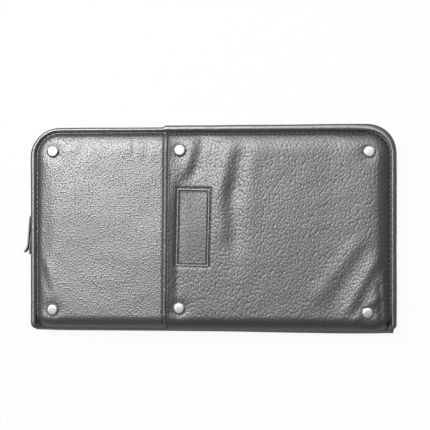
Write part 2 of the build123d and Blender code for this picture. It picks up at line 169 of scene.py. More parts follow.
class ShearsCaseColours(bpy.types.PropertyGroup):
    """Colours of the case's finishes."""

    smooth_leather: FloatVectorProperty(
        name="Smooth Leather", description="Colour of the smooth cover leather",
        subtype="COLOR", default=(0.050, 0.049, 0.048), min=0.0, max=1.0)
    pebbled_leather: FloatVectorProperty(
        name="Pebbled Leather", description="Colour of the pebbled pocket leather",
        subtype="COLOR", default=(0.044, 0.043, 0.042), min=0.0, max=1.0)
    edge_leather: FloatVectorProperty(
        name="Edge Leather", description="Colour of piping and side walls",
        subtype="COLOR", default=(0.036, 0.035, 0.035), min=0.0, max=1.0)
    tool_leather: FloatVectorProperty(
        name="Inside Leather", description="Colour of the leather inside the case",
        subtype="COLOR", default=(0.032, 0.031, 0.030), min=0.0, max=1.0)
    thread: FloatVectorProperty(
        name="Thread", description="Colour of the sewing thread",
        subtype="COLOR", default=(0.065, 0.065, 0.066), min=0.0, max=1.0)
    lining: FloatVectorProperty(
        name="Lining", description="Colour of the woven lining",
        subtype="COLOR", default=(0.030, 0.030, 0.034), min=0.0, max=1.0)
    tape: FloatVectorProperty(
        name="Zip Tape", description="Colour of the woven zip tape",
        subtype="COLOR", default=(0.016, 0.016, 0.017), min=0.0, max=1.0)
    elastic: FloatVectorProperty(
        name="Elastic", description="Colour of the elastic loops",
        subtype="COLOR", default=(0.020, 0.020, 0.022), min=0.0, max=1.0)
    zip_metal: FloatVectorProperty(
        name="Zip Metal", description="Colour of teeth, slider and link",
        subtype="COLOR", default=(0.62, 0.62, 0.64), min=0.0, max=1.0)
    rivet_metal: FloatVectorProperty(
        name="Rivet Metal", description="Colour of the rivet caps",
        subtype="COLOR", default=(0.66, 0.66, 0.67), min=0.0, max=1.0)
    board: FloatVectorProperty(
        name="Board", description="Colour of the fibre stiffeners",
        subtype="COLOR", default=(0.070, 0.062, 0.055), min=0.0, max=1.0)
    floor: FloatVectorProperty(
        name="Floor", description="Colour of the plain floor",
        subtype="COLOR", default=(0.50, 0.50, 0.50), min=0.0, max=1.0)


def sizes():
    """The scene's size settings."""
    return bpy.context.scene.shears_case_sizes


def colours():
    """The scene's colour settings."""
    return bpy.context.scene.shears_case_colours


# Materials


class Finish:
    """A node material being put together: one shader, with helpers for its patterns."""

    def __init__(self, name, colour, roughness, **inputs):
        self.material = bpy.data.materials.new(name)
        self.material.use_nodes = True
        self.tree = self.material.node_tree
        self.shader = self.tree.nodes["Principled BSDF"]
        self.colour = (*colour, 1.0)
        self.shader.inputs["Base Color"].default_value = self.colour
        self.shader.inputs["Roughness"].default_value = roughness
        for key, value in inputs.items():
            self.shader.inputs[key.replace("_", " ")].default_value = value
        coordinates = self.tree.nodes.new("ShaderNodeTexCoord")
        self.object_place = coordinates.outputs["Object"]
        self.uv_place = coordinates.outputs["UV"]

    def link(self, source, target):
        """Joins two sockets."""
        self.tree.links.new(source, target)

    def mapped(self, place, scale, turn=0.0):
        """Coordinates stretched and turned."""
        node = self.tree.nodes.new("ShaderNodeMapping")
        node.inputs["Scale"].default_value = scale
        node.inputs["Rotation"].default_value = (0.0, 0.0, turn)
        self.link(place, node.inputs["Vector"])
        return node.outputs["Vector"]

    def noise(self, scale, detail=3.0, roughness=0.55, place=None):
        """Cloudy pattern from 0 to 1."""
        node = self.tree.nodes.new("ShaderNodeTexNoise")
        node.inputs["Scale"].default_value = scale
        node.inputs["Detail"].default_value = detail
        node.inputs["Roughness"].default_value = roughness
        self.link(place or self.object_place, node.inputs["Vector"])
        return node.outputs["Fac"]

    def pebbles(self, scale, even, place):
        """Distance from the middle of each pebble of a flat, rather even pattern."""
        node = self.tree.nodes.new("ShaderNodeTexVoronoi")
        node.voronoi_dimensions = "2D"
        node.inputs["Scale"].default_value = scale
        node.inputs["Randomness"].default_value = even
        self.link(place, node.inputs["Vector"])
        return node.outputs["Distance"]

    def cells(self, scale, smooth=0.4):
        """Smoothed distance from the middle of each of many small cells."""
        node = self.tree.nodes.new("ShaderNodeTexVoronoi")
        node.feature = "SMOOTH_F1"
        node.inputs["Scale"].default_value = scale
        node.inputs["Smoothness"].default_value = smooth
        self.link(self.object_place, node.inputs["Vector"])
        return node.outputs["Distance"]

    def yarns(self, scale, direction):
        """Rows of yarn across the piece's UV map, a little uneven."""
        node = self.tree.nodes.new("ShaderNodeTexWave")
        node.bands_direction = direction
        node.inputs["Scale"].default_value = scale
        node.inputs["Distortion"].default_value = 0.6
        self.link(self.uv_place, node.inputs["Vector"])
        return node.outputs["Fac"]

    def math(self, kind, first, second):
        """Two patterns, or a pattern and a number, put together."""
        node = self.tree.nodes.new("ShaderNodeMath")
        node.operation = kind
        for socket, value in zip(node.inputs, (first, second)):
            if isinstance(value, float):
                socket.default_value = value
            else:
                self.link(value, socket)
        return node.outputs[0]

    def mixed(self, first, share, second, second_share):
        """Sum of two patterns, each times its share."""
        parts = self.math("MULTIPLY", first, share), self.math("MULTIPLY", second, second_share)
        return self.math("ADD", *parts)

    def tint(self, value, low, high):
        """Base colour that runs from low to high times the plain colour as value goes from 0 to 1."""
        ramp = self.tree.nodes.new("ShaderNodeValToRGB")
        for element, share in zip(ramp.color_ramp.elements, (low, high)):
            element.color = (*[c * share for c in self.colour[:3]], 1.0)
        self.link(value, ramp.inputs["Fac"])
        self.link(ramp.outputs["Color"], self.shader.inputs["Base Color"])

    def rough(self, value, low, high):
        """Roughness that runs from low to high as value goes from 0 to 1."""
        node = self.tree.nodes.new("ShaderNodeMapRange")
        node.inputs["To Min"].default_value = low
        node.inputs["To Max"].default_value = high
        self.link(value, node.inputs["Value"])
        self.link(node.outputs["Result"], self.shader.inputs["Roughness"])

    def bump(self, height, distance, strength=1.0, under=None):
        """Relief of a pattern, on top of the one under it."""
        node = self.tree.nodes.new("ShaderNodeBump")
        node.inputs["Strength"].default_value = strength
        node.inputs["Distance"].default_value = distance
        self.link(height, node.inputs["Height"])
        if under is not None:
            self.link(under, node.inputs["Normal"])
        return node.outputs["Normal"]

    def done(self, relief):
        """The material, with its relief joined to the shader."""
        self.link(relief, self.shader.inputs["Normal"])
        return self.material


MADE = {}


def finish_named(name):
    """The material of that name, made on first use."""
    if name not in MADE:
        MADE[name] = MAKERS[name]()
    return MADE[name]


def smooth_leather():
    """Fine, slightly creased grain with a soft sheen."""
    f = Finish("smooth_leather", colours().smooth_leather, 0.44, Specular_IOR_Level=1.0, IOR=1.8)
    patches = f.noise(38.0, 4.0)
    grain = f.pebbles(760.0, 0.9, f.uv_place)
    creases = f.noise(420.0, 5.0, 0.62, f.mapped(f.object_place, (1.0, 0.55, 1.0), 0.4))
    f.tint(f.mixed(patches, 0.6, grain, 0.5), 1.3, 0.75)
    f.rough(f.mixed(patches, 0.5, grain, 0.5), 0.34, 0.46)
    low = f.bump(creases, 0.02 * MM, 0.5)
    return f.done(f.bump(f.math("POWER", grain, 2.0), -0.17 * MM, 1.0, low))


def pebbled(name, scale, depth, ior):
    """Leather with plump pebbles, scale of them to the metre, and fine creases between them."""
    f = Finish(name, colours().pebbled_leather, 0.42, Specular_IOR_Level=1.0, IOR=ior)
    grain = f.mapped(f.uv_place, (1.0, 0.80, 1.0), 0.7)
    pebbles = f.pebbles(scale, 0.85, grain)
    small = f.noise(1300.0, 2.0, 0.6, grain)
    patches = f.noise(45.0, 4.0)
    f.tint(f.mixed(patches, 0.6, pebbles, 0.5), 1.2, 0.72)
    f.rough(f.mixed(patches, 0.5, pebbles, 0.6), 0.34, 0.46)
    low = f.bump(f.math("POWER", pebbles, 2.0), -depth * MM, 1.0)
    return f.done(f.bump(small, 0.08 * MM, 0.5, low))


def pebbled_leather():
    """Leather of the slip pocket."""
    return pebbled("pebbled_leather", 570.0, 0.22, 1.7)


def patch_leather():
    """Finer leather of the label patch."""
    return pebbled("patch_leather", 640.0, 0.15, 1.6)


def edge_leather():
    """Thin, glossier leather of piping and walls, with fine wrinkles across."""
    f = Finish("edge_leather", colours().edge_leather, 0.36, Specular_IOR_Level=1.0, IOR=2.0)
    patches = f.noise(90.0, 4.0)
    wrinkles = f.noise(650.0, 4.0, 0.6)
    f.tint(patches, 0.75, 1.5)
    f.rough(patches, 0.28, 0.50)
    low = f.bump(wrinkles, 0.16 * MM, 0.6)
    return f.done(f.bump(f.cells(1500.0), 0.06 * MM, 0.5, low))


def tool_leather():
    """Matt leather of the inside panels."""
    f = Finish("tool_leather", colours().tool_leather, 0.58, Specular_IOR_Level=0.45)
    patches = f.noise(50.0, 4.0)
    grain = f.cells(900.0, 0.5)
    f.tint(patches, 0.8, 1.3)
    f.rough(patches, 0.5, 0.66)
    return f.done(f.bump(grain, 0.14 * MM, 0.6, f.bump(f.noise(500.0), 0.12 * MM, 0.5)))


def woven(name, colour, across, along, height, roughness):
    """Cloth with crossing yarns on the piece's own UV map, which is in metres."""
    f = Finish(name, colour, roughness, Sheen_Weight=0.25, Sheen_Roughness=0.5)
    warp = f.yarns(across, "X")
    weft = f.yarns(along, "Y")
    weave = f.math("MAXIMUM", warp, weft)
    fuzz = f.noise(1400.0, 3.0)
    f.tint(f.math("MULTIPLY", weave, fuzz), 0.7, 1.7)
    f.rough(fuzz, roughness - 0.1, roughness + 0.1)
    return f.done(f.bump(weave, height, 0.8, f.bump(fuzz, height * 0.4, 0.5)))


def lining_cloth():
    """Plain woven lining."""
    return woven("lining_cloth", colours().lining, 420.0, 420.0, 0.12 * MM, 0.72)


def tape_cloth():
    """Tight twill of the zip tape."""
    return woven("tape_cloth", colours().tape, 330.0, 520.0, 0.16 * MM, 0.7)


def elastic_cloth():
    """Ribbed elastic."""
    return woven("elastic_cloth", colours().elastic, 200.0, 620.0, 0.25 * MM, 0.66)


def thread():
    """Waxed sewing thread."""
    f = Finish("thread", colours().thread, 0.42, Specular_IOR_Level=0.55)
    twist = f.noise(2600.0, 2.0)
    f.tint(twist, 0.6, 1.8)
    f.rough(twist, 0.34, 0.55)
    return f.done(f.bump(twist, 0.12 * MM, 0.7))


def metal(name, colour, roughness, wear):
    """Plated metal with faint wear and fine scratches."""
    f = Finish(name, colour, roughness, Metallic=1.0)
    clouds = f.noise(260.0, 4.0)
    scratches = f.noise(900.0, 3.0, 0.7, f.mapped(f.object_place, (1.0, 0.12, 1.0), 0.6))
    f.tint(clouds, 1.0 - wear, 1.0 + wear * 0.4)
    f.rough(f.mixed(clouds, 0.5, scratches, 0.5), roughness - 0.06, roughness + 0.14)
    return f.done(f.bump(scratches, 0.02 * MM, 0.4))


def zip_metal():
    """Nickel of the zip."""
    return metal("zip_metal", colours().zip_metal, 0.26, 0.25)


def rivet_metal():
    """Bright nickel of the rivets."""
    return metal("rivet_metal", colours().rivet_metal, 0.16, 0.12)


def fibre_board():
    """Pressed fibre board."""
    f = Finish("fibre_board", colours().board, 0.8)
    fibres = f.noise(500.0, 5.0, 0.7, f.mapped(f.object_place, (0.2, 1.0, 1.0)))
    f.tint(fibres, 0.75, 1.2)
    return f.done(f.bump(fibres, 0.1 * MM, 0.6))


MAKERS = {
    "smooth_leather": smooth_leather,
    "pebbled_leather": pebbled_leather,
    "patch_leather": patch_leather,
    "edge_leather": edge_leather,
    "tool_leather": tool_leather,
    "lining": lining_cloth,
    "zip_tape": tape_cloth,
    "elastic": elastic_cloth,
    "thread": thread,
    "zip_metal": zip_metal,
    "rivet_metal": rivet_metal,
    "board": fibre_board,
}


# Making pieces


def marks(*stretches, end):
    """Places along stretches up to the end. Each stretch has its start and the step between its places."""
    found = []
    stops = [start for start, _ in stretches[1:]] + [end]
    for (start, step), stop in zip(stretches, stops):
        count = max(round((stop - start) / step), 1)
        found += [start + (stop - start) * i / count for i in range(count)]
    return found + [end]


def rim_marks(low, high, rim, fine, plain):
    """Places from low to high, fine apart along the rim at both ends and plain apart between them."""
    return marks((low, fine), (low + rim, plain), (high - rim, fine), end=high)


def grid_on(xs, ys, place):
    """Grid of faces with a corner at place(x, y) for each of xs and ys. Its UV map holds x and y."""
    bm = bmesh.new()
    columns, rows = len(xs) - 1, len(ys) - 1
    bmesh.ops.create_grid(bm, x_segments=columns, y_segments=rows, size=0.5)
    layer = bm.loops.layers.uv.new("UVMap")
    at = {
        vert: (xs[round((vert.co.x + 0.5) * columns)], ys[round((vert.co.y + 0.5) * rows)])
        for vert in bm.verts
    }
    for face in bm.faces:
        for loop in face.loops:
            loop[layer].uv = at[loop.vert]
    for vert, (x, y) in at.items():
        vert.co = place(x, y)
    return bm


def thickened(bm, move):
    """Closes a sheet into a solid: a copy of it is moved by move(co), and the rims are bridged."""
    rim = [edge for edge in bm.edges if edge.is_boundary]
    copy = bmesh.ops.duplicate(bm, geom=bm.verts[:] + bm.edges[:] + bm.faces[:])["geom"]
    for vert in [part for part in copy if isinstance(part, bmesh.types.BMVert)]:
        vert.co = move(vert.co)
    bmesh.ops.reverse_faces(bm, faces=[part for part in copy if isinstance(part, bmesh.types.BMFace)])
    rim += [part for part in copy if isinstance(part, bmesh.types.BMEdge) and part.is_boundary]
    bmesh.ops.bridge_loops(bm, edges=rim)
    bmesh.ops.recalc_face_normals(bm, faces=bm.faces[:])
    return bm


def swept(section, stations, place):
    """Bar with a closed cross-section of (out, up) points, carried along stations by place(s, out, up)."""
    rounds = len(section)
    girth = [0.0]
    for i in range(rounds):
        here, there = section[i], section[(i + 1) % rounds]
        girth.append(girth[-1] + math.dist(here, there))

    at_girth = {run: section[i % rounds] for i, run in enumerate(girth)}
    bm = grid_on(stations, girth, lambda s, run: place(s, *at_girth[run]))
    bmesh.ops.remove_doubles(bm, verts=bm.verts, dist=0.001 * MM)
    bmesh.ops.holes_fill(bm, edges=[edge for edge in bm.edges if edge.is_boundary])
    bmesh.ops.recalc_face_normals(bm, faces=bm.faces[:])
    return bm


def rounded_bar(width, height, r, steps=3):
    """Cross-section with rounded corners, as (out, up) points around its middle."""
    points = []
    for i in range(4):
        side = 1 if i in (0, 3) else -1
        top = 1 if i in (0, 1) else -1
        for j in range(steps):
            turn = math.radians(90 * i + 90 * j / (steps - 1))
            points.append((
                side * (width / 2 - r) + r * math.cos(turn),
                top * (height / 2 - r) + r * math.sin(turn),
            ))
    return points


def full_bar(r, fullness=0.92, sides=24):
    """Nearly round cross-section of filled piping, a little flat on top, as (out, up) points."""
    points = []
    for i in range(sides):
        c, s = math.cos(2 * math.pi * i / sides), math.sin(2 * math.pi * i / sides)
        points.append((math.copysign(r * abs(c) ** fullness, c), math.copysign(r * abs(s) ** fullness, s)))
    return points


def mirrored(bm):
    """Turns a front-half shape into the back half's."""
    flip = Matrix.Translation((0, 0, CASE_T)) @ Matrix.Diagonal((1, 1, -1, 1))
    bmesh.ops.transform(bm, matrix=flip, verts=bm.verts)
    bmesh.ops.reverse_faces(bm, faces=bm.faces[:])
    return bm


HALVES = ("front", "back")
# Edges that turn by more than this stay sharp
SHARP = math.radians(50.0)


def for_half(half, bm):
    """A front-half shape, turned into the back half's where half says so."""
    return mirrored(bm) if half == "back" else bm


def piece(name, bm, finish, body, stands_for=()):
    """Turns a bmesh into a named piece that rides on a body, smooth but for its sharp edges."""
    for face in bm.faces:
        face.smooth = True
    for edge in bm.edges:
        if len(edge.link_faces) == 2 and edge.calc_face_angle(0.0) > SHARP:
            edge.smooth = False
    mesh = bpy.data.meshes.new(name)
    bm.to_mesh(mesh)
    bm.free()
    mesh.materials.append(finish_named(finish))
    made = bpy.data.objects.new(name, mesh)
    bpy.context.scene.collection.objects.link(made)
    if body:
        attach(made, body)
    if stands_for:
        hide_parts(*stands_for)
    return made


def copy_of(node, edge):
    """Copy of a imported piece's mesh with its sharp edges rounded off, edge wide."""
    bm = bmesh.new()
    bm.from_mesh(frame["nodes"][node].data)
    bmesh.ops.remove_doubles(bm, verts=bm.verts, dist=0.002 * MM)
    bmesh.ops.dissolve_limit(bm, angle_limit=math.radians(1.0), verts=bm.verts, edges=bm.edges)
    sharp = [e for e in bm.edges if len(e.link_faces) == 2 and e.calc_face_angle(0.0) > math.radians(30.0)]
    bmesh.ops.bevel(
        bm, geom=sharp, offset=edge, offset_type="OFFSET", segments=2, profile=0.5,
        affect="EDGES", clamp_overlap=True, material=-1)
    return bm


def spun(profile, places, steps=32):
    """Round caps, one on each of places, turned from a profile of (radius, height) points."""
    bm = bmesh.new()
    verts = [bm.verts.new((r, 0.0, z)) for r, z in profile]
    edges = [bm.edges.new(pair) for pair in zip(verts, verts[1:])]
    bmesh.ops.spin(
        bm, geom=verts + edges, cent=(0, 0, 0), axis=(0, 0, 1), angle=2 * math.pi, steps=steps,
        use_merge=True, use_duplicate=False)
    bmesh.ops.remove_doubles(bm, verts=bm.verts, dist=0.001 * MM)
    bmesh.ops.recalc_face_normals(bm, faces=bm.faces[:])
    first_verts = bm.verts[:]
    first = first_verts + bm.edges[:] + bm.faces[:]
    for place in places[1:]:
        copy = bmesh.ops.duplicate(bm, geom=first)["geom"]
        moved = [part for part in copy if isinstance(part, bmesh.types.BMVert)]
        bmesh.ops.translate(bm, verts=moved, vec=place)
    bmesh.ops.translate(bm, verts=first_verts, vec=places[0])
    return bm


def joined(whole, *others):
    """One shape of several."""
    for other in others:
        mesh = bpy.data.meshes.new("part")
        other.to_mesh(mesh)
        other.free()
        whole.from_mesh(mesh)
        bpy.data.meshes.remove(mesh)
    return whole


def stitch_mesh(places, length=None, width=None, slant=12.0):
    """Stitches, each a plump grain of thread at (centre, along, up)."""
    length = length or sizes().stitch_length
    width = width or sizes().thread_width
    bm = bmesh.new()
    size = Matrix.Diagonal((width / 2, width * 0.42, length / 2, 1))
    bmesh.ops.create_uvsphere(bm, u_segments=8, v_segments=6, radius=1.0, matrix=size)
    grain = bpy.data.meshes.new("grain")
    bm.to_mesh(grain)
    bm.clear()
    for centre, along, up in places:
        side = up.cross(along).normalized()
        turn = Matrix.Rotation(math.radians(slant), 3, up) @ Matrix((side, up, along)).transposed()
        sewn = grain.copy()
        sewn.transform(Matrix.Translation(centre) @ turn.to_4x4())
        bm.from_mesh(sewn)
        bpy.data.meshes.remove(sewn)
    bpy.data.meshes.remove(grain)
    return bm


def along_line(first, last, pitch):
    """Stitch places from one point to another, as shares of the way."""
    count = max(int((Vector(last) - Vector(first)).length / pitch), 1)
    return [(i + 0.5) / count for i in range(count)]


def rectangle(half_w, half_h):
    """Sides of a rectangle around the origin, each as its two corners."""
    corners = [Vector((a * half_w, b * half_h, 0)) for a, b in ((-1, -1), (1, -1), (1, 1), (-1, 1))]
    return list(zip(corners, corners[1:] + corners[:1]))


# The open edges of the case


def edge_lengths(inset, low):
    """Length of one side and one corner of the edge path, of its top, and the corner's radius."""
    r = sizes().corner_radius - inset
    side = TOP_Y - sizes().corner_radius - low
    top = 2 * (HALF_W - sizes().corner_radius)
    return side, math.pi * r / 2, top, r


def edge_length(inset, low):
    """Whole length of the edge path: left side, top and right side, down to low."""
    side, bend, top, _ = edge_lengths(inset, low)
    return 2 * (side + bend) + top


def edge_place(inset, low, s):
    """Point at length s of the edge path drawn in by inset, and the way out of the case there."""
    side, bend, top, r = edge_lengths(inset, low)
    total = 2 * (side + bend) + top
    if s > total / 2:
        at, out = edge_place(inset, low, total - s)
        return Vector((-at.x, at.y, 0)), Vector((-out.x, out.y, 0))
    centre = Vector((sizes().corner_radius - HALF_W, TOP_Y - sizes().corner_radius, 0))
    if s <= side:
        return Vector((inset - HALF_W, low + s, 0)), Vector((-1, 0, 0))
    if s <= side + bend:
        turn = (s - side) / r
        out = Vector((-math.cos(turn), math.sin(turn), 0))
        return centre + out * r, out
    return centre + Vector((s - side - bend, r, 0)), Vector((0, 1, 0))


def edge_run(x, y, inset, low):
    """Length along the edge path to the place nearest to a point."""
    side, bend, top, r = edge_lengths(inset, low)
    over_x = abs(x) - (HALF_W - sizes().corner_radius)
    over_y = y - (TOP_Y - sizes().corner_radius)
    if over_x > 0 and over_y > 0:
        s = side + r * math.atan2(over_y, over_x)
    elif over_x > over_y:
        s = min(max(y - low, 0.0), side)
    else:
        s = side + bend - over_x
    return 2 * (side + bend) + top - s if x > 0 else s


def edge_distance(x, y, inset):
    """How far a point lies inside the case's outline drawn in by inset. Negative outside it."""
    r = sizes().corner_radius - inset
    over_x = abs(x) - (HALF_W - inset - r)
    over_y = y - (TOP_Y - inset - r)
    if over_x > 0 and over_y > 0:
        return r - math.hypot(over_x, over_y)
    return r - max(over_x, over_y)


def round_corner(a, b, straight_a, straight_b):
    """Moves a point of a square corner onto a round one. The arc's centre is (straight_a, straight_b)."""
    across, up = abs(a) - straight_a, abs(b) - straight_b
    if across <= 0 or up <= 0:
        return a, b
    scale = max(across, up) / math.hypot(across, up)
    return math.copysign(straight_a + across * scale, a), math.copysign(straight_b + up * scale, b)


def rounded(x, y, inset):
    """Moves a point of the square-cornered cover into the rounded outline."""
    if y < 0:
        return x, y
    r = sizes().corner_radius - inset
    return round_corner(x, y, HALF_W - inset - r, TOP_Y - inset - r)


# Surfaces of the cover


def smooth_step(value, low, high):
    """0 at low, 1 at high, easing in between."""
    share = min(max((value - low) / (high - low), 0.0), 1.0)
    return share * share * (3 - 2 * share)


def hump(away, width):
    """1 where away is 0, falling softly to nothing over a few widths."""
    return math.exp(-((away / width) ** 2))


# Soft folds of the front: from x, y to x, y, half width and height, all in mm
FRONT_FOLDS = [
    (-24.6, 20.0, -25.6, -44.0, 3.6, -0.6),
    (-7.5, 60.0, -11.8, 46.0, 4.0, -0.42),
    (-12.6, 42.0, -22.0, 33.5, 4.2, -0.34),
    (-5.0, 66.0, -11.0, 36.0, 12.0, -0.8),
    (-14.0, 62.0, -18.0, 46.0, 4.0, 0.3),
    (13.0, 52.0, 10.0, 36.0, 5.6, 0.6),
    (7.0, 26.0, 8.5, 4.0, 6.0, 0.5),
    (21.0, 48.0, 18.3, 34.0, 6.4, -0.72),
    (15.6, 24.0, 16.5, -6.0, 6.8, -0.8),
    (30.0, 48.0, 27.0, 20.0, 7.0, 0.3),
    (104.0, -16.0, 82.0, -45.0, 6.0, 0.45),
    (112.0, -18.0, 94.0, -48.0, 5.2, -0.38),
    (118.5, -28.0, 101.5, -58.0, 3.8, 0.45),
    (122.0, -34.0, 109.0, -58.0, 3.6, -0.34),
    (122.5, -51.0, 104.0, -69.0, 3.0, 0.45),
    (127.0, -38.0, 129.0, -66.0, 2.2, 0.55),
    (124.0, -44.0, 125.0, -64.0, 2.2, -0.5),
    (-129.0, -28.0, -123.0, -44.0, 3.6, -0.35),
    (-124.0, -29.0, -119.0, -46.0, 4.0, 0.25),
    (-124.0, 24.0, -124.5, -14.0, 5.0, -0.4),
    (-58.0, 72.0, -58.5, 57.0, 1.6, -0.16),
    (-61.5, 70.0, -61.0, 59.0, 1.8, 0.12),
    (-47.0, 68.0, -49.0, 54.0, 3.0, -0.2),
    (-90.0, 68.0, -96.0, 60.0, 4.0, -0.3),
]


def fold_height(x, y, folds):
    """Height that the folds add at a point."""
    total = 0.0
    px, py = x / MM, y / MM
    for x0, y0, x1, y1, width, height in folds:
        run_x, run_y = x1 - x0, y1 - y0
        length = math.hypot(run_x, run_y)
        along = ((px - x0) * run_x + (py - y0) * run_y) / length
        beside = ((px - x0) * run_y - (py - y0) * run_x) / length
        past = max(-along, along - length, 0.0)
        reach = (beside / width) ** 2 + (past / (2.2 * width)) ** 2
        if reach < 8.0:
            total += height * math.exp(-reach)
    return total * MM * sizes().fold_scale


def ripple(x, y, seed):
    """Slow unevenness of hand-stretched leather."""
    coarse = noise.noise(Vector((x * 22.0, y * 22.0, seed)))
    fine = noise.noise(Vector((x * 75.0, y * 75.0, seed + 7.0)))
    return (0.30 * coarse + 0.12 * fine) * MM


COVER_LOW = ROLL_Y - ROLL_R * math.pi / 2 + 0.2 * MM
GROOVE_WIDTH = 1.5 * MM
CALM_WIDTH = 6.0 * MM
STITCH_PULL = 0.75 * MM
STITCH_PULL_WIDTH = 0.9 * MM
# Distances from the middle line between which the side stitches draw near to the piping
SIDE_START = 112.0 * MM
SIDE_FULL = 126.0 * MM
SIDE_SHIFT = 0.7 * MM
# Distances from the middle line between which the front's right part rises
RIGHT_START = 85.0 * MM
RIGHT_FULL = 118.0 * MM
RIGHT_RISE = 0.9 * MM
RIGHT_DROP = 1.9 * MM
RIGHT_DROP_WIDTH = 9.5 * MM
DENT_DEPTH = 1.25 * MM
DENT_WIDTH = 6.0 * MM


def seam_shift(x):
    """The stitches run nearer to the piping along the two side edges."""
    return -SIDE_SHIFT * smooth_step(abs(x), SIDE_START, SIDE_FULL)


def stitch_pull(x, y, d):
    """How far each border stitch draws the leather in, at distance d from the seam."""
    s = sizes()
    if d >= 7.0 * MM:
        return 0.0
    run = edge_run(x, y, s.seam_inset + s.stitch_inset, COVER_LOW)
    beat = (0.5 - 0.5 * math.cos(2 * math.pi * run / s.stitch_pitch)) ** 2
    return STITCH_PULL * beat * hump(d - s.stitch_inset - seam_shift(x), STITCH_PULL_WIDTH)


def right_drop(x, d):
    """The front stands a little higher at the right, and falls away more steeply at its edge."""
    edge = max(1.0 - max(d, 0.0) / RIGHT_DROP_WIDTH, 0.0) ** 1.1
    return smooth_step(x, RIGHT_START, RIGHT_FULL) * (RIGHT_DROP * edge - RIGHT_RISE)


def cover_height(x, y, front):
    """Height of a cover's leather above its plain shape, at a point of the unrolled cover."""
    s = sizes()
    d = edge_distance(x, y, s.seam_inset)
    share = max(1.0 - max(d, 0.0) / s.crown_width, 0.0) ** s.crown_power
    drop = right_drop(x, d) if front else 0.0
    groove = math.exp(-max(d, 0.0) / GROOVE_WIDTH) * s.groove_depth
    calm = min(max(d / CALM_WIDTH, 0.0), 1.0)
    uneven = fold_height(x, y, FRONT_FOLDS if front else ()) + ripple(x, y, 1.0 if front else 5.0)
    return -s.crown_rise * share - drop - groove - stitch_pull(x, y, d) + calm * uneven


def rivet_dents(x, y):
    """The leather is drawn in round each rivet."""
    depth = 0.0
    for rivet_x, rivet_y in RIVET_PLACES:
        away = math.hypot(x - rivet_x, y - rivet_y)
        if away < 3 * DENT_WIDTH:
            depth += hump(away, DENT_WIDTH)
    return -DENT_DEPTH * depth


def mouth_x(y):
    """Place of the pocket's mouth, which leans a little."""
    return MOUTH_X + 1.0 * MM + 0.008 * y


def front_height(x, y):
    """Height of the front cover's leather above its plain shape. The mouth presses a groove beside it."""
    beside_mouth = 0.8 * MM * hump(x - mouth_x(y) + 0.9 * MM, 1.2 * MM)
    return cover_height(x, y, True) + rivet_dents(x, y) - beside_mouth


def back_height(x, y):
    """Height of the back cover's leather above its plain shape. It lies flat on the floor."""
    return min(cover_height(x, y, False), -0.02 * MM)


def rolled(x, y, height):
    """Point of the cover at the unrolled place (x, y), height above the plain leather."""
    if y >= ROLL_Y:
        return Vector((x, y, FRONT_CREASE_Z + ROLL_R + height))
    turn = (ROLL_Y - y) / ROLL_R
    r = ROLL_R + height
    return Vector((x, ROLL_Y - r * math.sin(turn), FRONT_CREASE_Z + r * math.cos(turn)))


def unrolled(co):
    """Unrolled Y of a point on the cover."""
    if co.y >= ROLL_Y:
        return co.y
    return ROLL_Y - math.atan2(ROLL_Y - co.y, co.z - FRONT_CREASE_Z) * ROLL_R


def surface_up(x, y):
    """Way out of the leather at the unrolled place (x, y)."""
    return (rolled(x, y, MM) - rolled(x, y, 0.0)).normalized()


# Width of the finely divided border, and the steps of a sheet's fine and plain parts
BORDER = 6.0 * MM
FINE = 0.5 * MM
PLAIN = 1.15 * MM


def cover_sheet(height):
    """Sheet over the whole cover, with its corners rounded, at height(x, y) above the plain leather."""
    inset = sizes().seam_inset
    half, top = HALF_W - inset, TOP_Y - inset
    xs = marks(
        (-half, FINE), (BORDER - half, PLAIN), (MOUTH_X - 4.0 * MM, FINE), (MOUTH_X + 3.0 * MM, PLAIN),
        (half - BORDER, FINE), end=half)
    ys = marks((COVER_LOW, PLAIN), (top - BORDER, FINE), end=top)

    def place(x, y):
        x, y = rounded(x, y, inset)
        return rolled(x, y, height(x, y))

    return grid_on(xs, ys, place)


def cover_under(co):
    """Underside of a padded cover: on the board, and inside the rolled edge."""
    if co.y > ROLL_Y:
        return Vector((co.x, co.y, BOARD_HIGH.z + 0.05 * MM))
    turn = math.atan2(ROLL_Y - co.y, co.z - FRONT_CREASE_Z)
    r = ROLL_R - 4.2 * MM
    return Vector((co.x, ROLL_Y - r * math.sin(turn), FRONT_CREASE_Z + r * math.cos(turn)))


def border_stitches(lift):
    """Places of the stitches along the cover's seam, at lift(x, y) above the plain leather."""
    s = sizes()
    inset = s.seam_inset + s.stitch_inset
    total = edge_length(inset, COVER_LOW)
    places = []
    # The stitches at the seam's very ends, down in the crease, are left out
    for i in range(2, int(total / s.stitch_pitch) - 1):
        at, out = edge_place(inset, COVER_LOW, i * s.stitch_pitch)
        at -= out * seam_shift(at.x)
        along = Vector((out.y, -out.x, 0))
        centre = rolled(at.x, at.y, lift(at.x, at.y) + 0.15 * MM)
        ahead = at + along * MM
        along = (rolled(ahead.x, ahead.y, 0) - rolled(at.x, at.y, 0)).normalized()
        places.append((centre, along, surface_up(at.x, at.y)))
    return places


class SHEARS_OT_covers(bpy.types.Operator):
    """Padded leather covers of the two halves, with their border stitches"""

    bl_idname = "shears_case.covers"
    bl_label = "Build Covers"

    def execute(self, context):
        for half, height in zip(HALVES, (front_height, back_height)):
            bm = for_half(half, thickened(cover_sheet(height), cover_under))
            nodes = (f"{half}_leather", f"{half}_foam")
            made = piece(f"{half}_cover", bm, "smooth_leather", f"{half}_half", nodes)

        def front_lift(x, y):
            return front_height(x, y) + (POCKET_T if x > mouth_x(y) else 0.0)

        for half, lift in zip(HALVES, (front_lift, back_height)):
            bm = for_half(half, stitch_mesh(border_stitches(lift)))
            piece(f"{half}_border_stitches", bm, "thread", f"{half}_half")
        return {"FINISHED"}


